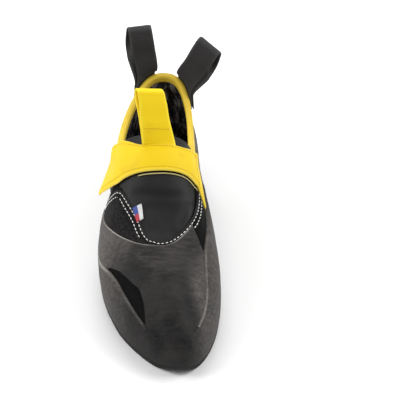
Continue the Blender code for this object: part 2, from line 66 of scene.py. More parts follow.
# One line per row, from the big toe's tip round the little-toe side to the heel and back.
# Lengths are shares of the shoe's length, half its ball width or its heel height.
FOOT = (
    (0.016, 0.330, 0.306, -0.011, 0.648, 0.091, 0.295, 0.580, 0.148, 0.000),
    (0.039, 0.023, 0.308, -0.114, 0.650, 0.091, 0.307, 0.600, 0.148, 0.000),
    (0.082, -0.250, 0.314, -0.216, 0.653, 0.091, 0.307, 0.620, 0.136, 0.000),
    (0.151, -0.545, 0.327, -0.330, 0.661, 0.091, 0.295, 0.660, 0.125, 0.000),
    (0.257, -0.830, 0.355, -0.455, 0.682, 0.086, 0.273, 0.700, 0.102, 0.000),
    (0.376, -0.943, 0.404, -0.580, 0.710, 0.080, 0.250, 0.720, 0.091, 0.000),
    (0.498, -0.920, 0.482, -0.682, 0.773, 0.068, 0.227, 0.600, 0.148, 0.023),
    (0.633, -0.750, 0.592, -0.705, 0.864, 0.091, 0.205, 0.250, 0.227, 0.045),
    (0.767, -0.602, 0.727, -0.682, 0.773, 0.125, 0.227, 0.250, 0.227, 0.000),
    (0.886, -0.500, 0.841, -0.557, 0.795, 0.148, 0.205, 0.250, 0.250, 0.023),
    (0.955, -0.227, 0.922, -0.261, 0.949, 0.182, 0.159, 0.250, 0.284, 0.045),
    (0.971, 0.045, 0.947, 0.057, 0.989, 0.193, 0.136, 0.250, 0.307, 0.068),
    (0.955, 0.318, 0.922, 0.364, 0.949, 0.182, 0.159, 0.250, 0.284, 0.045),
    (0.886, 0.545, 0.841, 0.518, 0.795, 0.118, 0.205, 0.250, 0.250, 0.023),
    (0.767, 0.591, 0.727, 0.545, 0.773, 0.086, 0.227, 0.250, 0.227, 0.034),
    (0.633, 0.659, 0.592, 0.557, 0.864, 0.080, 0.227, 0.250, 0.227, 0.068),
    (0.498, 0.791, 0.482, 0.591, 0.784, 0.050, 0.250, 0.500, 0.148, 0.045),
    (0.376, 0.898, 0.404, 0.568, 0.722, 0.045, 0.273, 0.580, 0.091, 0.000),
    (0.257, 0.932, 0.355, 0.432, 0.693, 0.036, 0.284, 0.560, 0.102, 0.000),
    (0.151, 0.841, 0.327, 0.284, 0.667, 0.036, 0.284, 0.560, 0.114, 0.000),
    (0.078, 0.693, 0.314, 0.182, 0.656, 0.055, 0.284, 0.560, 0.136, 0.000),
    (0.035, 0.523, 0.308, 0.091, 0.650, 0.077, 0.284, 0.560, 0.148, 0.000),
)
# Shares of the length, and of the arch's height, along the sole's under-side.
SOLE_PROFILE = (
    (0.000, 0.34), (0.024, 0.08), (0.045, 0.00), (0.155, 0.00), (0.200, 0.15), (0.310, 0.43),
    (0.400, 0.63), (0.461, 0.80), (0.551, 0.97), (0.612, 1.00), (0.686, 0.76), (0.759, 0.31),
    (0.820, 0.00), (0.890, 0.00), (0.951, 0.34), (1.000, 0.78))
# Upper edges of the rubber pieces at each row, as shares of the wall's height.
RAND_TOP = (0.31, 0.30, 0.35, 0.45, 0.44, 0.20, 0.20, 0.27, 0.33, 0.33, 0.33,
            0.33, 0.33, 0.33, 0.36, 0.46, 0.60, 0.65, 0.65, 0.46, 0.37, 0.33)
PATCH_TOP = (0.990, 0.990, 0.98, 0.955, 0.88, 0.70, 0.42, 0.25, 0.40, 0.40, 0.40,
             0.40, 0.40, 0.40, 0.40, 0.60, 0.80, 0.94, 0.98, 0.985, 0.988, 0.990)
HEEL_TOP = (0.50, 0.50, 0.50, 0.50, 0.50, 0.50, 0.50, 0.38, 0.44, 0.60, 0.65,
            0.66, 0.65, 0.60, 0.48, 0.42, 0.50, 0.50, 0.50, 0.50, 0.50, 0.50)
# Rows and heights of the window in the toe patch.
WINDOW = (
    (1.60, 0.0), (1.72, 0.36), (1.80, 0.46), (1.95, 0.54), (2.43, 0.62), (3.00, 0.62),
    (3.50, 0.595), (3.90, 0.52), (4.12, 0.45), (4.30, 0.0),
)
# Name, row, lean and width direction in mm, twist in degrees and drift in mm.
HEEL_LOOPS = (
    ("heel_loop_outer", 10.15, (-7.0, 12.0, 41.5), (1.0, 0.10, 0.05), 66.0, -9.5),
    ("heel_loop_inner", 12.15, (20.5, 6.0, 36.0), (0.78, -0.45, -0.42), -62.0, 9.5),
)
# Row of the instep panel where the tongue loop is sewn on.
PULL_ROW = 6.85
# Along the strap: angle off the vertical and share of the length, at its front and rear edge.
STRAP = (
    (-79.0, 0.545, -45.0, 0.662), (-58.0, 0.512, -37.0, 0.648), (-38.0, 0.492, -28.0, 0.618),
    (-14.0, 0.488, -13.0, 0.578), (6.0, 0.491, 5.0, 0.582), (24.0, 0.494, 18.0, 0.586),
    (40.0, 0.493, 28.0, 0.604), (50.0, 0.478, 35.0, 0.614), (63.0, 0.450, 41.0, 0.624),
)
# Gap between toe patch and rand, as a share of the wall's height.
SEAM = 0.008
# Row at the back of the heel.
HEEL_ROW = 11.0
# What one row measures along the sole, about.
ROW_MM = 19.0
# Cloth is laid out at 100 mm to one unit of the map, and a wave repeats every 6.283 units.
UV_UNIT_MM = 100.0
WAVE_LENGTH = 6.283
# Distances in mm from a free edge, close together so that its rounding is smooth.
EDGE_LINES = np.array([0.0, 0.12, 0.3, 0.55, 0.9, 1.4, 2.1])


class Weave(Enum):
    """How a tape's yarns lie."""

    PLAIN = "plain"
    TWILL = "twill"


def smoothstep(low: float, high: float, value: Grid) -> Grid:
    """Smooth ramp from 0 at `low` to 1 at `high`.

    Args:
        low: Value where the ramp starts.
        high: Value where it ends.
        value: Values to ramp.

    Returns:
        The ramp's height at each value.
    """
    u = np.clip((value - low) / (high - low), 0.0, 1.0)
    return u * u * (3 - 2 * u)


def unit(vectors: Grid) -> Grid:
    """Vectors along the last axis, brought to length one."""
    length = np.linalg.norm(vectors, axis=-1, keepdims=True)
    return vectors / np.maximum(length, 1e-9)


def zero(row: Grid) -> Grid:
    """Zeros in the shape of some values; as a height up the wall, the sole edge."""
    return np.zeros_like(np.asarray(row, dtype=float))


def quarter_round(share: Grid) -> Grid:
    """Height of a quarter round at each share of its run, 1 past its end."""
    return np.sqrt(1 - (1 - np.clip(share, 0, 1)) ** 2)


def bell(distance: Grid, width: float) -> Grid:
    """Bell curve: 1 at distance zero, fading out over the width."""
    return np.exp(-(distance / width) ** 2)


def bridged(left: Grid, right: Grid, count: int) -> Grid:
    """Points in even steps from one line to another."""
    share = np.linspace(0, 1, count)[None, :, None]
    return left[:, None] * (1 - share) + right[:, None] * share


def softened(grid: Grid, own: float) -> Grid:
    """Softens a grid of values by their neighbours.

    Args:
        grid: Values, columns by rows.
        own: How often a value itself counts beside its four neighbours.

    Returns:
        The averaged values.
    """
    pad = np.pad(grid, 1, mode="edge")
    around = pad[:-2, 1:-1] + pad[2:, 1:-1] + pad[1:-1, :-2] + pad[1:-1, 2:]
    return (around + own * grid) / (4 + own)


def walked(points: Grid, axis: int = 0) -> Grid:
    """Distance walked from point to point, from zero.

    Args:
        points: A line or a grid of points.
        axis: Axis of the grid to walk along.

    Returns:
        The distance at each point.
    """
    steps = np.linalg.norm(np.diff(points, axis=axis), axis=-1)
    start = np.zeros_like(np.take(steps, [0], axis=axis))
    return np.concatenate([start, np.cumsum(steps, axis=axis)], axis=axis)


def outline(grid: Grid) -> Grid:
    """Outer ring of a grid of points or of point numbers, once round."""
    return np.concatenate([grid[:, 0], grid[-1, 1:], grid[-2::-1, -1], grid[0, -2:0:-1]])


def row_line(first: float, last_row: float, per_row: int) -> Grid:
    """Row numbers along a piece, close together at its ends.

    Args:
        first: Row where it starts.
        last_row: Row where it ends.
        per_row: How many lines one row has between its ends.

    Returns:
        The row numbers.
    """
    ends = EDGE_LINES / ROW_MM
    inner = np.arange(first + 0.12, last_row - 0.12, 1 / per_row)
    return np.concatenate([first + ends, inner[1:], last_row - ends[::-1]])


def hash_noise(points: Grid, scale: float, seed: int) -> Grid:
    """Smooth value noise in space, the same at each run.

    Args:
        points: Places in mm, last axis of length three.
        scale: Size of one noise cell in mm.
        seed: Number that picks the pattern.

    Returns:
        Noise between -1 and 1 at each place.
    """
    cell = np.floor(points / scale).astype(np.int64)
    part = points / scale - cell
    part = part * part * (3 - 2 * part)
    total = np.zeros(points.shape[:-1])
    for corner in range(8):
        step = np.array([corner & 1, corner >> 1 & 1, corner >> 2 & 1])
        key = (cell + step) @ np.array([73856093, 19349663, 83492791]) + seed * 2654435761
        key = (key ^ (key >> 13)) * 1274126177 & 0xFFFFFFFF
        value = ((key ^ (key >> 16)) & 0xFFFF) / 32767.5 - 1
        weight = np.prod(np.where(step == 1, part, 1 - part), axis=-1)
        total += value * weight
    return total


@dataclass(frozen=True)
class Ripple:
    """Soft unevenness of a surface, told apart from others by its seed."""

    size_mm: float
    height_mm: float
    seed: int

    def at(self, points: Grid) -> Grid:
        """Height of the ripple at each point, in mm."""
        return hash_noise(points, self.size_mm, self.seed) * self.height_mm


@dataclass(frozen=True)
class ClosedCurve:
    """One value on a smooth closed curve through evenly spaced rows."""

    values: tuple[float, ...]

    def at(self, row: Grid | float) -> Grid:
        """Value at each row number.

        Args:
            row: Row numbers, which wrap round.

        Returns:
            The curve's value at each.
        """
        values = np.array(self.values)
        count = len(values)
        matrix = 4 * np.eye(count) + np.eye(count, k=1) + np.eye(count, k=-1)
        matrix[0, -1] = 1
        matrix[-1, 0] = 1
        bend = 6 * (np.roll(values, 1) - 2 * values + np.roll(values, -1))
        curvature = np.linalg.solve(matrix, bend)
        row = np.asarray(row, dtype=float)
        low = np.floor(row).astype(int)
        u = row - low
        v = 1 - u
        i = low % count
        j = (i + 1) % count
        return (v * values[i] + u * values[j]
                + ((v ** 3 - v) * curvature[i] + (u ** 3 - u) * curvature[j]) / 6)


@dataclass(frozen=True)
class MonotoneCurve:
    """A curve through rows of (place, height) that never swings past a row."""

    rows: tuple[tuple[float, float], ...]

    def at(self, where: Grid) -> Grid:
        """Height at each place.

        Args:
            where: Places along the curve.

        Returns:
            Heights there.
        """
        xs, ys = np.array(self.rows).T
        width = np.diff(xs)
        slope = np.diff(ys) / width
        tangent = np.zeros(len(xs))
        product = slope[:-1] * slope[1:]
        total = slope[:-1] + slope[1:]
        inner = np.where(product > 0, 2 * product / np.where(total == 0, 1, total), 0)
        tangent[1:-1] = inner
        tangent[0], tangent[-1] = slope[0], slope[-1]
        where = np.clip(where, xs[0], xs[-1])
        i = np.clip(np.searchsorted(xs, where, side="right") - 1, 0, len(xs) - 2)
        u = (where - xs[i]) / width[i]
        return (ys[i] * (1 + 2 * u) * (1 - u) ** 2 + tangent[i] * width[i] * u * (1 - u) ** 2
                + ys[i + 1] * u * u * (3 - 2 * u) + tangent[i + 1] * width[i] * u * u * (u - 1))


def through(keys: Grid, table: Grid, where: Grid) -> Grid:
    """Smooth curves through the columns of a table.

    Args:
        keys: Place of each line of the table.
        table: Lines by columns.
        where: Places to read.

    Returns:
        One column of values for each of the table's.
    """
    curves = [MonotoneCurve(tuple(zip(keys.tolist(), column.tolist()))) for column in table.T]
    return np.stack([curve.at(where) for curve in curves], axis=1)


@dataclass(frozen=True)
class ShoeLast:
    """The foot form that every piece lies on, driven by the same sizes as the CAD part."""

    length: float = 245.0
    half_ball: float = 44.0
    heel_height: float = 88.0
    arch_height: float = 17.5
    sole_wall: float = 4.0
    gap: float = 0.3
    centre_x: float = 0.1
    centre_s: float = 122.5

    @property
    def rows(self) -> int:
        """How many rows the foot table has."""
        return len(FOOT)

    def column(self, name: str, row: Grid) -> Grid:
        """One column of the foot table in mm, smooth between its rows.

        Args:
            name: Column to read.
            row: Row numbers.

        Returns:
            The column's value at each row number.
        """
        k = FOOT_COLUMNS.index(name)
        size = {"s": self.length, "x": self.half_ball, "z": self.heel_height}
        lengths = {"edge_s": "s", "top_s": "s", "edge_x": "x", "top_x": "x", "bulge": "x",
                   "swell": "x", "top_z": "z", "rise": "z", "drop": "z"}
        scale = size[lengths[name]] if name in lengths else 1.0
        return ClosedCurve(tuple(line[k] for line in FOOT)).at(row) * scale

    def sole_z(self, s: Grid) -> Grid:
        """Height of the sole's under-side at each distance from the toe."""
        return self.arch_height * MonotoneCurve(SOLE_PROFILE).at(s / self.length)

    def edge(self, row: Grid) -> Grid:
        """Point where the wall meets the sole.

        Args:
            row: Row numbers.

        Returns:
            A point at each row.
        """
        s = self.column("edge_s", row)
        z = self.sole_z(s) + self.sole_wall + self.gap
        return np.stack([self.column("edge_x", row), s, z], axis=-1)

    def outward(self, row: Grid) -> Grid:
        """Level direction away from the foot at the sole edge."""
        ahead = self.edge(row + 0.05) - self.edge(row - 0.05)
        return unit(np.stack([-ahead[..., 1], ahead[..., 0], np.zeros(ahead.shape[:-1])], -1))

    def topline(self, row: Grid) -> Grid:
        """Point where the wall ends, at throat or collar."""
        return np.stack([self.column(name, row) for name in ("top_x", "top_s", "top_z")], -1)

    def wall(self, row: Grid, t: Grid) -> Grid:
        """Outer surface of the upper.

        Args:
            row: Row numbers round the foot.
            t: Share of the way up, 0 at the sole and 1 at the top line.

        Returns:
            Points in last coordinates.
        """
        up = np.array([0.0, 0.0, 1.0])
        low = self.edge(row)
        high = self.topline(row)
        away = self.outward(row)
        first = low + away * self.column("bulge", row)[..., None]
        first = first + up * self.column("rise", row)[..., None]
        second = high + (low - high) * (1 - up) * self.column("share", row)[..., None]
        second = second + away * self.column("swell", row)[..., None]
        second = second - up * self.column("drop", row)[..., None]
        t = np.asarray(t)[..., None]
        u = 1 - t
        return u ** 3 * low + 3 * u * u * t * first + 3 * u * t * t * second + t ** 3 * high

    def normal(self, row: Grid, t: Grid) -> Grid:
        """Outward normal of the upper's outer surface.

        Args:
            row: Row numbers.
            t: Shares of the way up.

        Returns:
            Directions of length one.
        """
        around = self.wall(row + 0.04, t) - self.wall(row - 0.04, t)
        up = self.wall(row, np.minimum(t + 0.02, 1.0)) - self.wall(row, np.maximum(t - 0.02, 0.0))
        return unit(np.cross(up, around))

    def skin(self, row: Grid, t: Grid, depth: Grid | float) -> Grid:
        """Points at a distance outside the upper's outer surface.

        Args:
            row: Row numbers.
            t: Shares of the way up.
            depth: Distance out in mm, below zero for inside.

        Returns:
            Points in last coordinates, cut level at the sole.
        """
        normal = self.normal(row, t)
        depth = np.broadcast_to(np.asarray(depth, dtype=float), normal.shape[:-1])[..., None]
        free = self.wall(row, t) + normal * depth
        level = normal * np.array([1.0, 1.0, 0.0])
        flat = self.edge(row) + level / np.sum(level * level, -1, keepdims=True) * depth
        flat[..., 2] = self.sole_z(flat[..., 1]) + self.sole_wall + self.gap
        near = np.clip(np.asarray(t) / 0.06, 0, 1)[..., None]
        return flat * (1 - near) + free * near

    def arch(self, row: Grid, u: Grid, depth: Grid | float, reach: float = 1.15) -> Grid:
        """Points on the instep panel.

        Args:
            row: Row numbers along the throat.
            u: Share across, 0 at the little-toe side.
            depth: Height over the panel's surface in mm.
            reach: How strongly the panel leaves its edges.

        Returns:
            Points in last coordinates.
        """
        left = self.topline(row)
        right = self.topline(-row)
        span = np.linalg.norm(right - left, axis=-1, keepdims=True) * reach
        one = np.ones_like(np.asarray(row, dtype=float))
        lean_left = unit(self.wall(row, one) - self.wall(row, 0.96 * one)) * span
        lean_right = unit(self.wall(-row, one) - self.wall(-row, 0.96 * one)) * span
        u = np.asarray(u)[..., None]
        v = 1 - u
        point = (v * v * (1 + 2 * u) * left + u * v * v * lean_left
                 + u * u * (1 + 2 * v) * right + u * u * v * lean_right)
        return point + np.array([0.0, 0.0, 1.0]) * np.asarray(depth, dtype=float)[..., None]

    def world(self, points: Grid) -> Grid:
        """From last coordinates in mm to metres in the part's frame."""
        return (points - np.array([self.centre_x, self.centre_s, 0.0])) * MM


@dataclass(frozen=True)
class Crease:
    """A soft trough or ridge laid along a line on a surface.

    `path` runs in last coordinates, `width` is its half width, and a `depth` below zero
    is a ridge.
    """

    path: tuple[tuple[float, float, float], ...]
    width: float
    depth: float

    def at(self, points: Grid) -> Grid:
        """How far the surface sinks at each point, in mm.

        Args:
            points: Places on the surface in last coordinates.

        Returns:
            Sink in mm, fading towards the line's ends.
        """
        line = np.array(self.path, dtype=float)
        along = walked(line)
        best = np.full(points.shape[:-1], 1e9)
        place = np.zeros(points.shape[:-1])
        for a, b, start in zip(line[:-1], line[1:], along[:-1]):
            run = b - a
            length = np.linalg.norm(run)
            share = np.clip(((points - a) @ run) / length ** 2, 0, 1)
            gap = np.linalg.norm(points - (a + share[..., None] * run), axis=-1)
            closer = gap < best
            best = np.where(closer, gap, best)
            place = np.where(closer, start + share * length, place)
        fade = np.sin(np.pi * np.clip(place / along[-1], 0, 1)) ** 0.6
        return self.depth * fade * bell(best, self.width)


def relief(creases: Sequence[Crease], points: Grid) -> Grid:
    """Total sink of several creases.

    Args:
        creases: The creases.
        points: Places on the surface in last coordinates.

    Returns:
        Sink in mm at each place.
    """
    total = np.zeros(points.shape[:-1])
    for crease in creases:
        total = total + crease.at(points)
    return total


@dataclass
class Fabric:
    """One mesh in the making: grids of points in mm with a few numbers kept at each."""

    last: ShoeLast
    points: list[Grid] = field(default_factory=list)
    faces: list[tuple[int, ...]] = field(default_factory=list)
    marks: dict[str, list[Grid]] = field(default_factory=dict)
    count: int = 0

    def add(self, grid: Grid, ring: bool = False, flip: bool = False,
            **marks: Grid) -> Grid:
        """Adds a grid of points with its faces.

        Args:
            grid: Points, columns by rows by three.
            ring: Whether the last column joins the first.
            flip: Whether the faces look the other way.
            **marks: Numbers kept at each point, shaped as the grid or spread over it.

        Returns:
            The index of each point in the mesh.
        """
        columns, rows = grid.shape[:2]
        index = self.count + np.arange(columns * rows).reshape(columns, rows)
        self.points.append(grid.reshape(-1, 3))
        for name in set(self.marks) | set(marks):
            before = self.marks.setdefault(name, [np.zeros(self.count)] if self.count else [])
            value = marks.get(name, np.zeros((columns, rows)))
            before.append(np.broadcast_to(value, (columns, rows)).reshape(-1).astype(float))
        self.count += columns * rows
        self.join(index, ring, flip)
        return index

    def join(self, index: Grid, ring: bool = False, flip: bool = False) -> None:
        """Adds the faces between neighbouring indices of a grid.

        Args:
            index: Point numbers, columns by rows.
            ring: Whether the last column joins the first.
            flip: Whether the faces look the other way.
        """
        ahead = np.roll(index, -1, axis=0) if ring else index[1:]
        here = index if ring else index[:-1]
        quads = np.stack([here[:, :-1], here[:, 1:], ahead[:, 1:], ahead[:, :-1]], -1)
        if flip:
            quads = quads[..., ::-1]
        self.faces.extend(map(tuple, quads.reshape(-1, 4).tolist()))

    def bar(self, spine: Grid, side: Grid, up: Grid, size: Grid, sides: int) -> None:
        """Adds a round bar with closed ends.

        Args:
            spine: Points along its middle.
            side: Directions to its side there.
            up: Directions away from the shoe there.
            size: Its radius there.
            sides: How many sides it has.
        """
        ring = np.linspace(0, 2 * math.pi, sides + 1)[:-1]
        grid = (spine[:, None] + side[:, None] * (size[:, None] * np.cos(ring))[..., None]
                + up[:, None] * (size[:, None] * np.sin(ring))[..., None])
        index = self.add(np.concatenate([grid, grid[:, :1]], axis=1))
        self.faces.append(tuple(index[0, :-1].tolist()))
        self.faces.append(tuple(index[-1, -2::-1].tolist()))

    def face_out(self) -> None:
        """Turns a closed piece's faces to look outward, by the sign of its volume."""
        points = np.concatenate(self.points)
        quads = np.array([face for face in self.faces if len(face) == 4])
        a, b, c, d = (points[quads[:, k]] for k in range(4))
        volume = np.sum(np.cross(b - a, c - a) * a) + np.sum(np.cross(c - a, d - a) * a)
        if volume < 0:
            self.faces = [face[::-1] for face in self.faces]

    def piece(self, name: str, finish: bpy.types.Material, node: str | None,
              weld: float = 0.0, closed: bool = True) -> bpy.types.Object:
        """Makes the object, and ties it to the shoe.

        Args:
            name: Name of the piece.
            finish: Its material.
            node: CAD node that it stands for, if any.
            weld: Distance in mm under which points are merged.
            closed: Whether it encloses a volume.

        Returns:
            The object, in metres in the part's frame.
        """
        if closed:
            self.face_out()
        points = self.last.world(np.concatenate(self.points))
        mesh = bpy.data.meshes.new(name)
        mesh.from_pydata(points.tolist(), [], self.faces)
        for mark, values in self.marks.items():
            layer = mesh.attributes.new(mark, "FLOAT", "POINT")
            layer.data.foreach_set("value", np.concatenate(values).astype(np.float32))
        if weld > 0:
            work = bmesh.new()
            work.from_mesh(mesh)
            bmesh.ops.remove_doubles(work, verts=work.verts, dist=weld * MM)
            bmesh.ops.dissolve_degenerate(work, dist=1e-8, edges=work.edges)
            work.to_mesh(mesh)
            work.free()
        if {"lay_u", "lay_v"} <= set(self.marks):
            self.lay(mesh)
        mesh.materials.append(finish)
        mesh.shade_smooth()
        obj = bpy.data.objects.new(name, mesh)
        bpy.context.collection.objects.link(obj)
        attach(obj, "root")
        if node:
            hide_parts(node)
        LOG.info("%s: %d faces", name, len(mesh.polygons))
        return obj

    @staticmethod
    def lay(mesh: bpy.types.Mesh) -> None:
        """Turns the marks lay_u and lay_v, in mm, into a map for weaves and grain.

        Args:
            mesh: Mesh that carries the marks.
        """
        corner = np.empty(len(mesh.loops), dtype=np.int32)
        mesh.loops.foreach_get("vertex_index", corner)
        flat = np.empty((len(mesh.loops), 2))
        for k, name in enumerate(("lay_u", "lay_v")):
            values = np.empty(len(mesh.vertices), dtype=np.float32)
            mesh.attributes[name].data.foreach_get("value", values)
            flat[:, k] = values[corner] / UV_UNIT_MM
        layer = mesh.uv_layers.new(name="lay")
        layer.data.foreach_set("uv", flat.reshape(-1).astype(np.float32))


def linear(code: str) -> tuple[float, float, float, float]:
    """Linear colour of an sRGB hex code.

    Args:
        code: Six hex digits, with or without a leading hash.

    Returns:
        Red, green, blue and an alpha of one.
    """
    code = code.lstrip("#")
    parts = []
    for k in range(0, 6, 2):
        value = int(code[k:k + 2], 16) / 255
        parts.append(value / 12.92 if value <= 0.04045 else ((value + 0.055) / 1.055) ** 2.4)
    return (parts[0], parts[1], parts[2], 1.0)


def feed(tree: bpy.types.NodeTree, node: bpy.types.Node, inputs: dict | Sequence) -> None:
    """Sets a node's inputs.

    Args:
        tree: Node tree that it is in.
        node: The node.
        inputs: Values by input name or number, or in the node's own order. An output is
            linked, and a hex code is turned to a colour.
    """
    pairs = inputs.items() if isinstance(inputs, dict) else enumerate(inputs)
    for key, value in pairs:
        if isinstance(value, bpy.types.NodeSocket):
            tree.links.new(value, node.inputs[key])
        else:
            node.inputs[key].default_value = linear(value) if isinstance(value, str) else value


def put(tree: bpy.types.NodeTree, kind: str, inputs: dict | Sequence, output: int | str = 0,
        **settings: object) -> bpy.types.NodeSocket:
    """Adds one node with its settings and links.

    Args:
        tree: Node tree to add it to.
        kind: Blender's name of the node's type, after its first word.
        inputs: Its inputs, as `feed` takes them.
        output: Name or number of the output to hand back.
        **settings: The node's own properties.

    Returns:
        That output.
    """
    made = tree.nodes.new("ShaderNode" + kind)
    for name, value in settings.items():
        setattr(made, name, value)
    feed(tree, made, inputs)
    return made.outputs[output]


def start_material(name: str) -> tuple[bpy.types.Material, bpy.types.NodeTree, bpy.types.Node]:
    """Starts a material.

    Args:
        name: Its name.

    Returns:
        The material, its node tree and its shader.
    """
    made = bpy.data.materials.new(name)
    made.use_nodes = True
    tree = made.node_tree
    return made, tree, tree.nodes["Principled BSDF"]


def speckle(tree: bpy.types.NodeTree, size_mm: float, detail: float = 3.0,
            stretch: tuple[float, float, float] = (1.0, 1.0, 1.0)) -> bpy.types.NodeSocket:
    """Cloudy pattern in the shoe's own space.

    Args:
        tree: Node tree to add it to.
        size_mm: Size of one cloud in mm.
        detail: How much finer detail it holds.
        stretch: How much faster it changes along each axis.

    Returns:
        The pattern's value, about 0 to 1.
    """
    place = put(tree, "TexCoord", {}, "Object")
    scaled = put(tree, "Mapping", {"Vector": place, "Scale": stretch})
    return put(tree, "TexNoise", {"Vector": scaled, "Scale": 1 / (size_mm * MM),
                                  "Detail": detail, "Roughness": 0.6}, "Fac")


@dataclass(frozen=True)
class MouldedRubber:
    """Carbon-filled climbing rubber, calendered in sheets, glued on and buffed.

    To the eye it is a satin dark grey, dusty and mottled, with fine scuffs across the toe; it is
    paler and more mottled along the sides than at the toe, and its upper edges carry a pale line
    that is partly rubbed wear and partly painted highlight.  The buffing grain is a third of a
    millimetre on the real sheet and is drawn three times as coarse, to show in the render.
    """

    name: str = "moulded_rubber"
    colour: str = "#0d0c0c"
    dusty: str = "#312f2e"
    # Pale edge tint: partly rubbed wear, partly painted highlight; below it, the tint of the paler
    # mottle
    worn: str = "#cdc8c1"
    pale_mottle_tint: str = "#66615e"
    cloud_mm: float = 26.0
    brush_mm: float = 2.2
    grain_mm: float = 1.1
    scuff_mm: float = 3.5
    roughness: float = 0.60

    def build(self) -> bpy.types.Material:
        """Makes the material.

        Returns:
            The material.
        """
        made, tree, shader = start_material(self.name)
        cloud = put(tree, "MapRange", (speckle(tree, self.cloud_mm, 5.0), 0.38, 0.68))
        grain = speckle(tree, self.grain_mm, 3.0)
        scuff = speckle(tree, self.scuff_mm, 4.0, (1.0, 5.0, 5.0))
        brushed = speckle(tree, self.brush_mm, 4.0, (0.22, 1.0, 0.8))
        scuffs = put(tree, "MapRange", (scuff, 0.60, 0.78, 0.0, 0.45))
        streaks = put(tree, "MapRange", (brushed, 0.48, 0.72, 0.0, 0.55))
        layers = [(cloud, self.dusty), (scuffs, self.dusty), (streaks, self.dusty)]
        mottle_pattern = put(tree, "MapRange", (brushed, 0.35, 0.65, 0.35))
        rubbed = put(tree, "MapRange", (grain, 0.25, 0.6))
        # Paler mottle where the mesh marks it, and the pale line of the rubbed edges, partly wear
        # and partly painted highlight
        for name, pattern, tint in (("dust", mottle_pattern, self.pale_mottle_tint), ("wear", rubbed, self.worn)):
            kept = put(tree, "Attribute", {}, "Fac", attribute_name=name)
            layers.append((put(tree, "Math", (kept, pattern), operation="MULTIPLY"), tint))
        colour = self.colour
        for share, tint in layers:
            colour = put(tree, "Mix", {0: share, 6: colour, 7: tint}, 2, data_type="RGBA")
        rough = put(tree, "MapRange",
                    (cloud, 0.0, 1.0, self.roughness - 0.05, self.roughness + 0.10))
        normal = put(tree, "Bump", {"Strength": 1.0, "Distance": 0.16 * MM, "Height": grain})
        normal = put(tree, "Bump", {"Strength": 1.0, "Distance": 0.18 * MM, "Height": scuff,
                                    "Normal": normal})
        feed(tree, shader, {"Base Color": colour, "Roughness": rough, "IOR": 1.52,
                            "Specular IOR Level": 0.17, "Normal": normal})
        return made


@dataclass(frozen=True)
class Microfibre:
    """Brushed synthetic suede: a very dark, soft nap that catches light at grazing angles.

    Its tufts of about 0.4 mm are drawn four times as coarse, to show in the render.
    """

    name: str = "brushed_microfibre"
    colour: str = "#080808"
    raised: str = "#181717"
    nap_mm: float = 1.6
    patch_mm: float = 12.0
    roughness: float = 0.95

    def build(self) -> bpy.types.Material:
        """Makes the material.

        Returns:
            The material.
        """
        made, tree, shader = start_material(self.name)
        nap = speckle(tree, self.nap_mm, 6.0)
        raised = put(tree, "MapRange", (nap, 0.40, 0.75))
        patch = put(tree, "MapRange", (speckle(tree, self.patch_mm, 2.0), 0.3, 0.7, 0.4, 1.0))
        share = put(tree, "Math", (raised, patch), operation="MULTIPLY")
        colour = put(tree, "Mix", {0: share, 6: self.colour, 7: self.raised}, 2,
                     data_type="RGBA")
        normal = put(tree, "Bump", {"Strength": 1.0, "Distance": 0.35 * MM, "Height": nap})
        feed(tree, shader, {"Base Color": colour, "Roughness": self.roughness,
                            "Specular IOR Level": 0.12, "Sheen Weight": 0.03,
                            "Sheen Roughness": 0.5, "Normal": normal})
        return made


@dataclass(frozen=True)
class Neoprene:
    """Foam rubber faced with fine knitted nylon: smooth, black, with a broad soft gloss.

    Its loops of about 0.35 mm are drawn twice as coarse, to show in the render.
    """

    name: str = "knit_faced_neoprene"
    colour: str = "#0b0a0b"
    pale: str = "#161515"
    cloud_mm: float = 18.0
    knit_mm: float = 0.7
    roughness: float = 0.58

    def build(self) -> bpy.types.Material:
        """Makes the material.

        Returns:
            The material.
        """
        made, tree, shader = start_material(self.name)
        cloud = put(tree, "MapRange", (speckle(tree, self.cloud_mm, 3.0), 0.35, 0.7))
        colour = put(tree, "Mix", {0: cloud, 6: self.colour, 7: self.pale}, 2, data_type="RGBA")
        knit = speckle(tree, self.knit_mm, 2.0)
        normal = put(tree, "Bump", {"Strength": 1.0, "Distance": 0.10 * MM, "Height": knit})
        feed(tree, shader, {"Base Color": colour, "Roughness": self.roughness,
                            "Specular IOR Level": 0.32, "Normal": normal})
        return made


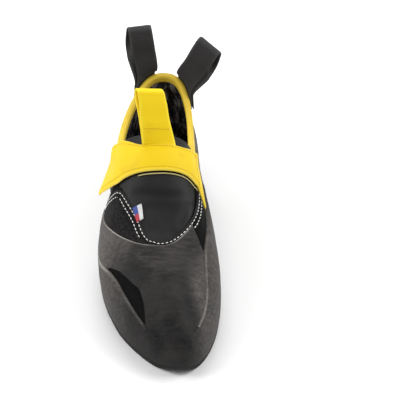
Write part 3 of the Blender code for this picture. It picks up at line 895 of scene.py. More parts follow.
@dataclass(frozen=True)
class Webbing:
    """Flat woven tape: thick yarns lie side by side, so light breaks up into small ribs.

    The yarn spacing is a real tape's, drawn about twice as coarse to show in the render.  Its edges
    take the rim tint as painted edge light: a painted highlight where the rim is paler than the
    tape, painted shade where it is darker.
    """

    name: str = "woven_tape"
    colour: str = "#eacb02"
    shade: str = "#e3c002"
    soil: str = "#c49c12"
    # Painted edge light: a paler rim is a painted highlight, a darker rim is painted shade
    rim: str = "#f0dc66"
    soil_mm: float = 9.0
    yarn_mm: float = 0.8
    relief_mm: float = 0.05
    roughness: float = 0.62
    weave: Weave = Weave.PLAIN

    def build(self) -> bpy.types.Material:
        """Makes the material.

        Returns:
            The material.
        """
        made, tree, shader = start_material(self.name)
        lay = put(tree, "UVMap", {}, "UV", uv_map="lay")
        turn = 0.6 if self.weave is Weave.TWILL else 0.0
        scale = UV_UNIT_MM / self.yarn_mm / WAVE_LENGTH
        yarns = []
        for angle in (turn, turn + math.pi / 2):
            mapped = put(tree, "Mapping", {"Vector": lay, "Rotation": (0.0, 0.0, angle)})
            yarns.append(put(tree, "TexWave", {"Vector": mapped, "Scale": scale,
                                               "Distortion": 0.3, "Detail": 1.0}, "Fac",
                             wave_profile="SIN"))
        height = put(tree, "Math", yarns, operation="MULTIPLY")
        raised = put(tree, "MapRange", (height, 0.0, 0.5))
        dirt = put(tree, "MapRange", (speckle(tree, self.soil_mm, 4.0), 0.55, 0.80, 0.0, 0.35))
        # Painted edge light along the tape's edges, from the edge mark
        edge = put(tree, "Attribute", {}, "Fac", attribute_name="wear")
        edge = put(tree, "Math", (edge, 0.55), operation="MULTIPLY")
        colour = self.shade
        for share, tint in ((raised, self.colour), (dirt, self.soil), (edge, self.rim)):
            colour = put(tree, "Mix", {0: share, 6: colour, 7: tint}, 2, data_type="RGBA")
        normal = put(tree, "Bump", {"Strength": 1.0, "Distance": self.relief_mm * MM,
                                    "Height": height})
        feed(tree, shader, {"Base Color": colour, "Roughness": self.roughness,
                            "Specular IOR Level": 0.3, "Sheen Weight": 0.04,
                            "Normal": normal})
        return made


@dataclass(frozen=True)
class CoatedLining:
    """Thin coated textile of the lining: black and creased, drawn dark grey as painted light, with
    small bright glints painted into its colour as pale patches.
    """

    name: str = "coated_lining"
    # Dark grey base: the black lining lightened as painted light in the dark interior; the pale
    # tint gives painted glints
    colour: str = "#2c2a2c"
    pale: str = "#989298"
    crumple_mm: float = 5.0
    roughness: float = 0.24

    def build(self) -> bpy.types.Material:
        """Makes the material.

        Returns:
            The material.
        """
        made, tree, shader = start_material(self.name)
        crumple = speckle(tree, self.crumple_mm, 3.0, (1.0, 1.0, 0.45))
        # Painted glints: pale patches on the crumples
        painted_glint = put(tree, "MapRange", (crumple, 0.50, 0.66))
        colour = put(tree, "Mix", {0: painted_glint, 6: self.colour, 7: self.pale}, 2, data_type="RGBA")
        normal = put(tree, "Bump", {"Strength": 1.0, "Distance": 2.2 * MM, "Height": crumple})
        feed(tree, shader, {"Base Color": colour, "Roughness": self.roughness,
                            "Normal": normal})
        return made


@dataclass(frozen=True)
class PlainCloth:
    """Matt cloth or board of one colour with a fine fibrous surface.

    Fibres and thread plies of about 0.3 mm are drawn two to three times as coarse.
    """

    name: str
    colour: str
    pale: str
    grain_mm: float = 1.0
    roughness: float = 0.85

    def build(self) -> bpy.types.Material:
        """Makes the material.

        Returns:
            The material.
        """
        made, tree, shader = start_material(self.name)
        grain = speckle(tree, self.grain_mm, 3.0)
        share = put(tree, "MapRange", (grain, 0.3, 0.7))
        colour = put(tree, "Mix", {0: share, 6: self.colour, 7: self.pale}, 2, data_type="RGBA")
        normal = put(tree, "Bump", {"Strength": 1.0, "Distance": 0.12 * MM, "Height": grain})
        feed(tree, shader, {"Base Color": colour, "Roughness": self.roughness,
                            "Normal": normal})
        return made


@dataclass(frozen=True)
class TricolourCloth:
    """Printed satin label in three plain fields of colour, with no words.

    The satin's threads of about 0.2 mm are drawn three times as coarse, to dull its gloss.
    """

    name: str = "tricolour_label"
    upper_left: str = "#2a4596"
    lower_left: str = "#b3243a"
    right: str = "#d9d9da"
    shadow: str = "#5a5a5c"
    grain_mm: float = 0.6
    roughness: float = 0.6

    def build(self) -> bpy.types.Material:
        """Makes the material.

        Returns:
            The material.
        """
        made, tree, shader = start_material(self.name)
        across, down = (put(tree, "MapRange", (put(tree, "Attribute", {}, "Fac",
                                                   attribute_name=name), 0.48, 0.52))
                        for name in ("across", "down"))
        grain = speckle(tree, self.grain_mm, 2.0)
        worn = put(tree, "MapRange", (grain, 0.3, 0.8, 0.0, 0.25))
        colour = self.lower_left
        for share, tint in ((down, self.upper_left), (across, self.right), (worn, self.shadow)):
            colour = put(tree, "Mix", {0: share, 6: colour, 7: tint}, 2, data_type="RGBA")
        normal = put(tree, "Bump", {"Strength": 1.0, "Distance": 0.1 * MM, "Height": grain})
        feed(tree, shader, {"Base Color": colour, "Roughness": self.roughness,
                            "Normal": normal})
        return made


@dataclass
class RubberSheet:
    """Rubber glued on the upper, its free edges skived down to what lies beneath.

    `bottom` and `top` give shares of the way up the wall, `depth` is the distance of its
    outer face from the upper, and `land` is where its edges come down to.  `hidden_top` and
    `hidden_bottom` say how far an edge is ground into its neighbour over `blend_mm`, where
    both lie `meet` from the upper; there a groove is left along the seam.  `lean` turns the
    first end aside by that many rows, about `pivot` of its height.  The paler mottle, `shine`
    and `lift` give a paler mottled tone, the brightness of the rubbed edge line, which is
    partly wear and partly painted highlight, and extra height along the rows.
    """

    name: str
    node: str | None
    first: float
    last_row: float
    bottom: Callable[[Grid], Grid]
    top: Callable[[Grid], Grid]
    depth: float
    land: float = 0.0
    round: float = 1.3
    open_bottom: bool = False
    slot: str = "rubber"
    lines: int = 34
    per_row: int = 14
    creases: Sequence[Crease] = ()
    hidden_top: Callable[[Grid], Grid] | None = None
    hidden_bottom: Callable[[Grid], Grid] | None = None
    blend_mm: float = 8.0
    ripple: Ripple = Ripple(size_mm=9.0, height_mm=0.10, seed=3)
    meet: float = 2.7
    meet_mm: float = 9.0
    groove: float = 0.2
    lean: float = 0.0
    lean_rows: float = 0.9
    pivot: float = 0.4
    # Width of the pale rubbed edge line along the top, partly wear and partly painted highlight;
    # the faint rim on all free edges is wear
    rubbed_shine_mm: float = 0.7
    edge_mm: float = 0.6
    edge_wear: float = 0.12
    lift: Callable[[Grid], Grid] | None = None
    dust: Callable[[Grid, Grid], Grid] | None = None
    shine: Sequence[tuple[float, float]] = ((-12.0, 0.5), (16.0, 0.5))

    def make(self, last: ShoeLast, finish: bpy.types.Material) -> bpy.types.Object:
        """Builds the sheet.

        Args:
            last: The foot form.
            finish: Its material.

        Returns:
            The piece.
        """
        rows = row_line(self.first, self.last_row, self.per_row)
        low, high = self.bottom(rows), self.top(rows)
        share = np.linspace(0, 1, 12)
        coarse = low[:, None] + (high - low)[:, None] * share
        along = last.wall(np.broadcast_to(rows[:, None], coarse.shape), coarse)
        length = np.linalg.norm(np.diff(along, axis=1), axis=-1).sum(axis=1)
        ends = EDGE_LINES[None, :] * np.minimum(1, length / 6)[:, None]
        inner = np.linspace(0, 1, self.lines)[None, 1:-1]
        middle = ends[:, -1:] + (length[:, None] - 2 * ends[:, -1:]) * inner
        gap_low = np.concatenate([ends, middle, length[:, None] - ends[:, ::-1]], axis=1)
        gap_high = length[:, None] - gap_low
        t = low[:, None] + (high - low)[:, None] * gap_low / length[:, None]
        r = np.broadcast_to(rows[:, None], t.shape)
        start = bell(r - self.first, self.lean_rows)
        r = r - start * self.lean * (gap_low / length[:, None] - self.pivot)
        base = last.wall(r, t)
        walk = walked(base)
        over = self.hidden_top(r) * self.blend_mm if self.hidden_top else 0.0
        under = self.hidden_bottom(r) if self.hidden_bottom else np.zeros_like(r)
        near = np.minimum(gap_high + over, np.minimum(walk, walk[-1:] - walk))
        if self.open_bottom:
            near = np.minimum(near, gap_low + under * self.blend_mm)
        rise = quarter_round(near / self.round)
        depth = self.land + (self.depth - self.land) * rise
        depth = depth + (self.meet - self.depth) * under * bell(gap_low, self.meet_mm)
        depth = depth - self.groove * under * smoothstep(0.9, 0.5, gap_low)
        depth = depth - relief(self.creases, base) * rise
        depth = depth + self.ripple.at(base) * rise
        if self.lift is not None:
            depth = depth + self.lift(r) * rise
        points = last.skin(r, t, depth)
        # Pale line along the upper edge: partly rubbed wear, partly painted highlight; a faint worn
        # rim runs along every free edge
        wear = bell(gap_high + over, self.rubbed_shine_mm) * MonotoneCurve(tuple(self.shine)).at(r)
        wear = np.maximum(wear, bell(near, self.edge_mm) * self.edge_wear)
        cloth = Fabric(last)
        dust = self.dust(r, t) if self.dust is not None else np.zeros_like(t)
        cloth.add(points, wear=wear, dust=dust, lay_u=walk, lay_v=gap_low)
        cloth.add(last.skin(r, t, np.minimum(self.land, depth) - 0.05), flip=True)
        return cloth.piece(self.name, finish, self.node)


@dataclass
class ThroatPlace:
    """Places round the throat: up the wall to 1, then on over the instep panel.

    A place is a row number and a height w: up to 1 it is a share of the wall, and past 1
    the rest is a share of the way across the panel from that side.
    """

    last: ShoeLast
    panel: InstepPanel
    step: float = 0.022

    def at(self, row: Grid, w: Grid, lift: Grid | float) -> Grid:
        """Points over the upper and the panel.

        Args:
            row: Row numbers, below zero on the big-toe side.
            w: Heights.
            lift: Distance over the surface in mm.

        Returns:
            Points in last coordinates.
        """
        lift = np.broadcast_to(np.asarray(lift, dtype=float), w.shape)
        wall = self.last.skin(row, np.minimum(w, 1.0), lift)
        across = np.clip(w - 1, 0.0, 0.5)
        u = np.where(row > 0, across, 1 - across)
        along = np.maximum(np.abs(row), self.panel.first)
        over = self.panel.surface(self.last, along, u, lift)
        edge = self.last.skin(row, np.ones_like(w), lift)
        base = self.panel.surface(self.last, along,
                                  np.where(row > 0, 0.0, 1.0) * np.ones_like(w), lift)
        over = over + (edge - base) * np.exp(-across / self.step)[..., None]
        return np.where((w > 1)[..., None], over, wall)

    def normal(self, row: Grid, w: Grid) -> Grid:
        """Outward normals at those places."""
        return unit(self.at(row, w, 1.0) - self.at(row, w, 0.0))


@dataclass
class VampPiece:
    """Microfibre piece between the toe patch and the panel, its hem lying on the panel."""

    first: float = 0.9
    last_row: float = 6.12
    hem: tuple[tuple[float, float], ...] = (
        (0.9, 1.0), (1.46, 1.05), (2.62, 1.125), (3.98, 1.17), (5.14, 1.135), (5.9, 1.09),
        (6.2, 1.05))
    thick: float = 0.9
    overlap: float = 0.03
    under: float = 0.3
    seams: tuple[float, float] = (1.5, 3.7)
    groove: float = 0.30
    groove_mm: float = 0.45
    ripple: Ripple = Ripple(size_mm=7.0, height_mm=0.12, seed=31)

    def make(self, place: ThroatPlace, finish: bpy.types.Material) -> bpy.types.Object:
        """Builds the piece.

        Args:
            place: Places round the throat.
            finish: Its material.

        Returns:
            The piece.
        """
        rows = row_line(self.first, self.last_row, 20)
        top = MonotoneCurve(self.hem).at(rows)
        low = np.minimum(ClosedCurve(PATCH_TOP).at(rows) - self.overlap, 1 - self.overlap)
        low = np.where(rows > 5.6, np.minimum(low, 0.40), low)
        share = np.concatenate([np.linspace(0, 0.94, 60),
                                1 - 0.06 * np.linspace(1, 0, 16)[1:] ** 1.5])
        w = low[:, None] + (top - low)[:, None] * share
        r = np.broadcast_to(rows[:, None], w.shape).copy()
        r = r + smoothstep(5.2, 6.1, r) * (1 - w) * 0.10
        flat = place.at(r, w, 0.0)
        up, walk = walked(flat, 1), walked(flat)
        near = np.minimum(up[:, -1:] - up, walk[-1:] - walk)
        rise = quarter_round(near / self.thick)
        groove = self.groove * sum(bell(near - seam, self.groove_mm) for seam in self.seams)
        lift = self.thick * rise - groove * rise + self.ripple.at(flat) * rise
        cloth = Fabric(place.last)
        cloth.add(place.at(r, w, lift), lay_u=walk, lay_v=up)
        cloth.add(place.at(r, w, -self.under), flip=True, lay_u=walk, lay_v=up)
        return cloth.piece("vamp_piece", finish, None)


@dataclass
class Upper:
    """Hollow microfibre upper with its coated lining, open at collar, throat and underneath."""

    wall: float = 1.9
    lasting_margin: float = 13.0
    layer_gap: float = 1.1
    per_row: int = 16
    lines: int = 64
    row_mm: float = 20.0
    ripple: Ripple = Ripple(size_mm=8.0, height_mm=0.12, seed=7)
    inner_ripple: Ripple = Ripple(size_mm=11.0, height_mm=0.35, seed=5)
    creases: Sequence[Crease] = ()
    inner_creases: Sequence[Crease] = ()

    def make(self, last: ShoeLast, nap: bpy.types.Material,
             lining: bpy.types.Material) -> tuple[bpy.types.Object, bpy.types.Object]:
        """Builds the outer shell with its rim, and the lining inside it.

        Args:
            last: The foot form.
            nap: Finish of the outside.
            lining: Finish of the inside.

        Returns:
            The shell and the lining.
        """
        rows = np.arange(0, last.rows, 1 / self.per_row)
        t = np.linspace(0, 1, self.lines)
        r, t = np.meshgrid(rows, t, indexing="ij")
        base = last.wall(r, t)
        fade = smoothstep(0.0, 0.1, 1 - t)
        sink = relief(self.creases, base) + self.ripple.at(base)
        outer = last.skin(r, t, -sink * fade)
        shell = Fabric(last)
        flaps = self.margin(last, rows, 0.0)
        turn = np.linspace(0, math.pi, 7)[1:-1]
        half = self.wall / 2
        end, out, down = rim_frame(last, rows)
        rim = np.stack([end - out * half + out * half * math.cos(a)
                        - down * half * math.sin(a) * 0.6 for a in turn], axis=1)
        walk = np.concatenate([flaps[:, ::-1], outer, rim], axis=1)
        shell.add(walk, ring=True, lay_u=rows[:, None] * self.row_mm, lay_v=walked(walk, 1))
        inner_sink = relief(self.inner_creases, base) + self.inner_ripple.at(base) * fade
        inner = last.skin(r, t, -self.wall + 0.02 - np.maximum(inner_sink, -0.2) * fade)
        inside = Fabric(last)
        low = self.margin(last, rows, self.wall)
        corner = low[:, :1] + (inner[:, :1] - low[:, :1]) * 0.999
        inside.add(np.concatenate([low[:, ::-1], corner, inner[:, 2:]], axis=1), ring=True,
                   flip=True)
        outside = shell.piece("upper_shell", nap, "upper", closed=False)
        return outside, inside.piece("upper_lining", lining, None, closed=False)

    def margin(self, last: ShoeLast, rows: Grid, lift: float) -> Grid:
        """Points of the lasting margin that turns in under the foot.

        Args:
            last: The foot form.
            rows: Row numbers round the foot.
            lift: Height over the layer beneath in mm.

        Returns:
            Points, rows by three lines, each further in than the one before.
        """
        low = last.edge(rows)
        inward = -last.outward(rows)
        lines = []
        for share in (0.33, 0.66, 1.0):
            flap = low + inward * self.lasting_margin * share
            flap[:, 2] = last.sole_z(flap[:, 1]) + last.sole_wall + self.layer_gap + lift
            lines.append(flap)
        return np.stack(lines, axis=1)


def rim_frame(last: ShoeLast, row: Grid) -> tuple[Grid, Grid, Grid]:
    """End of the wall with its outward and downward directions.

    Args:
        last: The foot form.
        row: Row numbers.

    Returns:
        Ends, outward directions and downward directions.
    """
    one = np.ones_like(row)
    end = last.topline(row)
    down = unit(last.wall(row, 0.95 * one) - end)
    out = last.normal(row, 0.99 * one)
    out = unit(out - down * np.sum(out * down, -1, keepdims=True))
    return end, out, down


@dataclass
class InstepPanel:
    """Stretch neoprene panel over the instep, its sides tucked under the throat."""

    wall: float = 3.0
    tuck: float = 2.3
    first: float = 0.2
    last_row: float = 7.2
    extra: float = 9.0
    row_mm: float = 20.0
    map_row_mm: float = 15.0
    map_width_mm: float = 60.0
    columns: int = 120
    across: int = 70
    ripple: Ripple = Ripple(size_mm=12.0, height_mm=0.3, seed=9)
    creases: Sequence[Crease] = ()

    def surface(self, last: ShoeLast, row: Grid, u: Grid, depth: Grid | float) -> Grid:
        """Points of the panel, which also reaches past the throat at both sides.

        Args:
            last: The foot form.
            row: Row numbers along the throat.
            u: Shares across, from -0.1 to 1.1.
            depth: Height over its surface in mm.

        Returns:
            Points in last coordinates.
        """
        inner = np.clip(u, 0, 1)
        beyond = np.maximum(row - self.last_row, 0.0) * self.row_mm
        row = np.minimum(row, self.last_row)
        rise = 1 - (2 * inner - 1) ** 4
        middle = last.arch(row, inner, -self.tuck * (1 - rise))
        middle = middle + unit(self.lift(last, row, inner)) * np.asarray(depth)[..., None]
        ahead = unit(last.arch(row, inner, zero(row))
                     - last.arch(row - 0.2, inner, zero(row)))
        middle = middle + ahead * (beyond * rise)[..., None]
        left = last.skin(row, np.clip(1 + u, 0, 1), -self.tuck)
        right = last.skin(-row, np.clip(2 - u, 0, 1), -self.tuck)
        points = np.where((u < 0)[..., None], left, middle)
        return np.where((u > 1)[..., None], right, points)

    @staticmethod
    def lift(last: ShoeLast, row: Grid, u: Grid) -> Grid:
        """Upward direction on the panel.

        Args:
            last: The foot form.
            row: Row numbers along the throat.
            u: Shares across.

        Returns:
            Directions, not brought to length one.
        """
        flat = zero(row)
        across = last.arch(row, u + 0.01, flat) - last.arch(row, u - 0.01, flat)
        along = last.arch(row + 0.03, u, flat) - last.arch(row - 0.03, u, flat)
        normal = np.cross(across, along)
        return normal * np.sign(normal[..., 2:])

    def make(self, last: ShoeLast, finish: bpy.types.Material) -> bpy.types.Object:
        """Builds the panel with its rounded rear edge.

        Args:
            last: The foot form.
            finish: Its material.

        Returns:
            The piece.
        """
        back = self.last_row + self.extra / self.row_mm
        rows = np.concatenate([np.linspace(self.first, back - 0.12, self.columns),
                               back - np.array([0.09, 0.06, 0.035, 0.015, 0.004, 0.0])])
        u = np.linspace(-0.1, 1.1, self.across)
        r, w = np.meshgrid(rows, u, indexing="ij")
        base = self.surface(last, r, w, np.zeros_like(r))
        near = np.clip((back - r) * self.row_mm / (self.wall / 2), 0, 1)
        close = (self.wall / 2) * (1 - quarter_round(near))
        hold = smoothstep(0.0, 0.12, w) * smoothstep(0.0, 0.12, 1 - w)
        sink = (relief(self.creases, base) + self.ripple.at(base)) * hold
        top = self.surface(last, r, w, -close - sink * near)
        low = self.surface(last, r, w, -self.wall + close)
        cloth = Fabric(last)
        lay = {"lay_u": r * self.map_row_mm, "lay_v": w * self.map_width_mm}
        cloth.add(top, flip=True, **lay)
        cloth.add(low, **lay)
        return cloth.piece("instep_panel", finish, "tongue", weld=0.01)


@dataclass
class Outsole:
    """Outsole rubber, its lower edge ground round, flat where it stands.

    `profile` runs down its side: distance out past `reach`, and height over the sole line.
    """

    reach: float = 2.7
    edge_wear: float = 0.08
    wear_height: float = 0.7
    wear_mm: float = 0.9
    tread_wear: float = 0.04
    per_row: int = 16
    across: int = 60
    profile: Sequence[tuple[float, float]] = (
        (-3.0, 3.95), (0.15, 3.93), (0.0, 3.7), (0.0, 3.0), (0.0, 2.2), (-0.05, 1.5), (-0.2, 0.95),
        (-0.5, 0.5), (-0.95, 0.18), (-1.5, 0.03), (-2.2, 0.0))

    def make(self, last: ShoeLast, finish: bpy.types.Material) -> bpy.types.Object:
        """Builds the sole.

        Args:
            last: The foot form.
            finish: Its material.

        Returns:
            The piece.
        """
        rows = np.arange(0, last.rows, 1 / self.per_row)
        side = []
        for out, z in self.profile:
            ring = last.edge(rows) + last.outward(rows) * (self.reach + out)
            ring[:, 2] = last.sole_z(ring[:, 1]) + z
            side.append(ring)
        wall = np.stack(side, axis=1)
        heights = np.array([z for _, z in self.profile])
        wear = self.edge_wear * bell(heights - self.wear_height, self.wear_mm)
        cloth = Fabric(last)
        cloth.add(wall, ring=True, flip=True, wear=wear[None])
        half = len(rows) // 2
        for line, flip in ((wall[:, -1], False), (wall[:, 0], True)):
            left = line[:half + 1]
            right = np.concatenate([line[:1], line[:half - 1:-1]])
            grid = bridged(left, right, self.across)
            grid[..., 2] = last.sole_z(grid[..., 1]) + self.profile[0 if flip else -1][1]
            cloth.add(grid, flip=not flip, wear=np.full(grid.shape[:2], self.tread_wear))
        return cloth.piece("outsole_rubber", finish, "outsole", weld=0.004)


@dataclass
class Insole:
    """Thin board over the lasting margin."""

    inset: float = 3.6
    end_row: float = 1 / 3
    base: float = 8.1
    thick: float = 2.0

    def make(self, last: ShoeLast, finish: bpy.types.Material) -> bpy.types.Object:
        """Builds the board.

        Args:
            last: The foot form.
            finish: Its material.

        Returns:
            The piece.
        """
        rows = np.linspace(self.end_row, HEEL_ROW - self.end_row, 90)
        left = last.edge(rows) - last.outward(rows) * self.inset
        right = last.edge(-rows) - last.outward(-rows) * self.inset
        grid = bridged(left, right, 24)
        floor = last.sole_z(grid[..., 1]) + self.base
        cloth = Fabric(last)
        top, low = (np.dstack([grid[..., :2], floor + rise]) for rise in (self.thick, 0.0))
        cloth.add(top, flip=True)
        cloth.add(low)
        cloth.add(np.stack([outline(low), outline(top)], axis=1), ring=True)
        return cloth.piece("insole_board", finish, "insole", weld=0.01)


@dataclass
class CollarBinding:
    """Yellow tape folded over the collar, from one end of the strap to the other."""

    first: float = 7.1
    drop: float = 5.2
    thick: float = 1.1
    upper_wall: float = 1.9
    edge_mm: float = 0.6
    ripple: Ripple = Ripple(size_mm=7.0, height_mm=0.12, seed=21)

    def make(self, last: ShoeLast, finish: bpy.types.Material) -> bpy.types.Object:
        """Builds the tape.

        Args:
            last: The foot form.
            finish: Its material.

        Returns:
            The piece.
        """
        near = last.gap
        far = -self.upper_wall - near
        turn = np.linspace(0, math.pi, 9)
        middle, half = (near + far) / 2, (near - far) / 2 + self.thick
        outside = [(self.drop, near + 0.1), (self.drop + 0.05, near + self.thick * 0.6),
                   (self.drop - 0.4, near + self.thick), (self.drop * 0.6, near + self.thick),
                   (self.drop * 0.25, near + self.thick)]
        fold = [(-near - self.thick * math.sin(a) + 0.3 * (1 - math.sin(a)),
                 middle + half * math.cos(a)) for a in turn]
        inside = [(self.drop * 0.3, far - self.thick), (self.drop * 0.7, far - self.thick),
                  (self.drop - 0.3, far - self.thick), (self.drop, far - self.thick * 0.5),
                  (self.drop - 0.1, far - 0.1)]
        shape = np.array(outside + fold + inside)
        rows = np.linspace(self.first, last.rows - self.first, 220)
        end, out, down = rim_frame(last, rows)
        grid = (end[:, None] + down[:, None] * shape[None, :, :1]
                + out[:, None] * shape[None, :, 1:])
        grid = grid + out[:, None] * self.ripple.at(grid)[..., None]
        walk, across = walked(end), walked(shape)
        cloth = Fabric(last)
        edge = np.minimum(across, across[-1] - across)
        # Edge mark of the tape, which its finish paints darker as shade on the rounded edges
        cloth.add(grid, lay_u=walk[:, None], lay_v=across[None],
                  wear=bell(edge, self.edge_mm)[None])
        return cloth.piece("collar_tape", finish, "collar_binding")


@dataclass
class TapeLoop:
    """Webbing folded over an edge, sewn to both faces of it and left slightly open.

    `lean` runs from its foot to its top and `across` along its width.  The middles of its
    legs lie `foot_gap` off the edge's middle and run down by `legs`.  Further up each half
    leaves `slit` to the middle, and near the top it lies `bulge` times as far out.  Beyond
    `turn_first` of its run it turns by `twist` degrees and shifts by `drift`.  At its sides
    it keeps the share `side_thin` of its thickness.
    """

    name: str
    node: str
    slot: str
    lean: tuple[float, float, float]
    across: tuple[float, float, float]
    taper: float
    foot_gap: float
    half_wall: float
    legs: float
    thick: float = 1.3
    outside: float = 0.0
    slit: float = 0.5
    bulge: float = 2.8
    twist: float = 0.0
    drift: float = 0.0
    drift_out: float = 0.35
    turn_first: float = 0.48
    turn_run: float = 0.50
    side_thin: float = 0.62
    side_bow: float = 0.004
    side_light_falloff: float = 14.0
    outer_face: Grid = field(init=False, repr=False)
    inner_face: Grid = field(init=False, repr=False)
    heights: Grid = field(init=False, repr=False)

    @staticmethod
    def section(count: int) -> list[tuple[int, float]]:
        """Points once round the tape's thickness.

        Args:
            count: How many points lie across its width.

        Returns:
            For each, its number across the width and its level in the thickness.
        """
        face = [(k, 0.5) for k in range(count)] + [(count - 1, 0.15), (count - 1, -0.15)]
        back = [(k, -0.5) for k in range(count - 1, -1, -1)] + [(0, -0.15), (0, 0.15)]
        return face + back

    def seams(self, height: float) -> list[tuple[Grid, Grid]]:
        """Rows of stitching across both legs and both faces, once the loop is made.

        Args:
            height: Height of the rows over the edge in mm.

        Returns:
            For each row, its points and the surface's normals there.
        """
        half = len(self.heights) // 2
        rows = []
        for part, start in ((slice(0, half), 0), (slice(half, None), half)):
            k = int(np.abs(self.heights[part] - height).argmin()) + start
            face, back = self.outer_face[k], self.inner_face[k, ::-1]
            normal = unit(face - back)
            rows.append((face[1:-1] + normal[1:-1] * 0.05, normal[1:-1]))
            rows.append((back[1:-1] - normal[1:-1] * 0.05, -normal[1:-1]))
        return rows

    def path(self) -> Grid:
        """Middle line of the tape.

        Returns:
            At each point: outward offset, height, and how closely it follows the rim.
        """
        height = float(np.linalg.norm(self.lean))
        neck = self.thick / 2 + self.slit
        wide = neck * self.bulge
        gap = self.foot_gap
        half = [(gap, -self.legs, 1.0), (gap, -self.legs * 0.4, 1.0), (gap, 1.5, 1.0),
                (0.6 * gap + 0.4 * neck, 6.0, 0.6), (neck, 12.0, 0.25), (neck, height * 0.5, 0.0),
                (wide, height * 0.8, 0.0), (wide, height - 2.6, 0.0),
                (wide * 0.6, height - 0.7, 0.0)]
        rows = [(-q, h, b) for q, h, b in half] + [(0.0, height, 0.0)] + half[::-1]
        rows = np.array(rows)
        walk = walked(rows[:, :2])
        return through(walk, rows, np.linspace(0, walk[-1], 150))

    def make(self, last: ShoeLast, frames: tuple[Grid, Grid, Grid],
             finish: bpy.types.Material) -> bpy.types.Object:
        """Builds the loop.

        Args:
            last: The foot form.
            frames: Ends, outward and downward directions along the edge it is sewn to.
            finish: Its material.

        Returns:
            The piece.
        """
        end, rim_out, down = frames
        count = len(end)
        lean = np.array(self.lean)
        height = np.linalg.norm(lean)
        up = lean / height
        side = unit(np.array(self.across))
        out = unit(np.cross(up, side))
        if out @ rim_out[count // 2] < 0:
            out = -out
        base = end[count // 2] - rim_out[count // 2] * self.half_wall
        width = np.linalg.norm(end[-1] - end[0])
        share = np.linspace(0, 1, count) - 0.5
        path = self.path()
        step = unit(np.gradient(path[:, :2], axis=0))
        turn = np.stack([-step[:, 1], step[:, 0]], axis=1)
        part = np.clip((np.linspace(0, 1, len(path)) - self.turn_first) / self.turn_run, 0, 1)
        turned = np.sin(np.pi * part) ** 2
        angle = turned * math.radians(self.twist)
        sides = (side[None] * np.cos(angle)[:, None]
                 + np.cross(up, side)[None] * np.sin(angle)[:, None])
        shift = side[None] * (turned * self.drift)[:, None]
        shift = shift + out[None] * (turned * abs(self.drift) * self.drift_out)[:, None]
        section = self.section(count)
        grid = np.zeros((len(path), len(section), 3))
        lay_v = np.zeros(grid.shape[:2])
        wear = np.zeros(grid.shape[:2])
        for j, (i, level) in enumerate(section):
            rim = min(i, count - 1 - i) / (count - 1)
            thin = self.side_thin if rim < 0.03 else 1.0
            q = path[:, 0] + turn[:, 0] * self.thick * level * thin
            h = path[:, 1] + turn[:, 1] * self.thick * level * thin
            narrow = 1 - (1 - self.taper) * np.maximum(h, 0) / height
            bow = self.side_bow if abs(level) < 0.3 else 0.0
            w = share[i] + math.copysign(bow, share[i])
            q = q + self.outside * path[:, 2]
            straight = base + sides * (width * w * narrow)[:, None] + out * q[:, None]
            straight = straight + up * h[:, None] + shift
            sewn = end[i] + rim_out[i] * (q - self.half_wall)[:, None] - down[i] * h[:, None]
            follow = path[:, 2:]
            grid[:, j] = sewn * follow + straight * (1 - follow)
            lay_v[:, j] = (share[i] + 0.5) * width
            # Paler tape sides: painted highlight where the edges turn to the light
            wear[:, j] = math.exp(-(rim * self.side_light_falloff) ** 2)
        self.outer_face = grid[:, :count]
        self.inner_face = grid[:, count + 2:2 * count + 2]
        self.heights = path[:, 1]
        cloth = Fabric(last)
        index = cloth.add(grid, lay_u=walked(path[:, :2])[:, None], lay_v=lay_v, wear=wear)
        cloth.join(np.concatenate([index[:, -1:], index[:, :1]], axis=1))
        cloth.faces.append(tuple(index[0].tolist()))
        cloth.faces.append(tuple(index[-1, ::-1].tolist()))
        return cloth.piece(self.name, finish, self.node)


def panel_frame(last: ShoeLast, u: Grid, back: float) -> tuple[Grid, Grid, Grid]:
    """A line across the instep panel with its outward and downward directions.

    Args:
        last: The foot form.
        u: Shares across the panel.
        back: Row where the line runs.

    Returns:
        Points of the line, outward directions and directions towards the toe.
    """
    row = np.full_like(u, back)
    flat = zero(u)
    end = last.arch(row, u, flat)
    down = unit(last.arch(row - 0.2, u, flat) - end)
    side = last.arch(row, u + 0.02, flat) - last.arch(row, u - 0.02, flat)
    out = np.cross(side, down)
    out = unit(out * np.sign(out[..., 2:]))
    return end, out, down


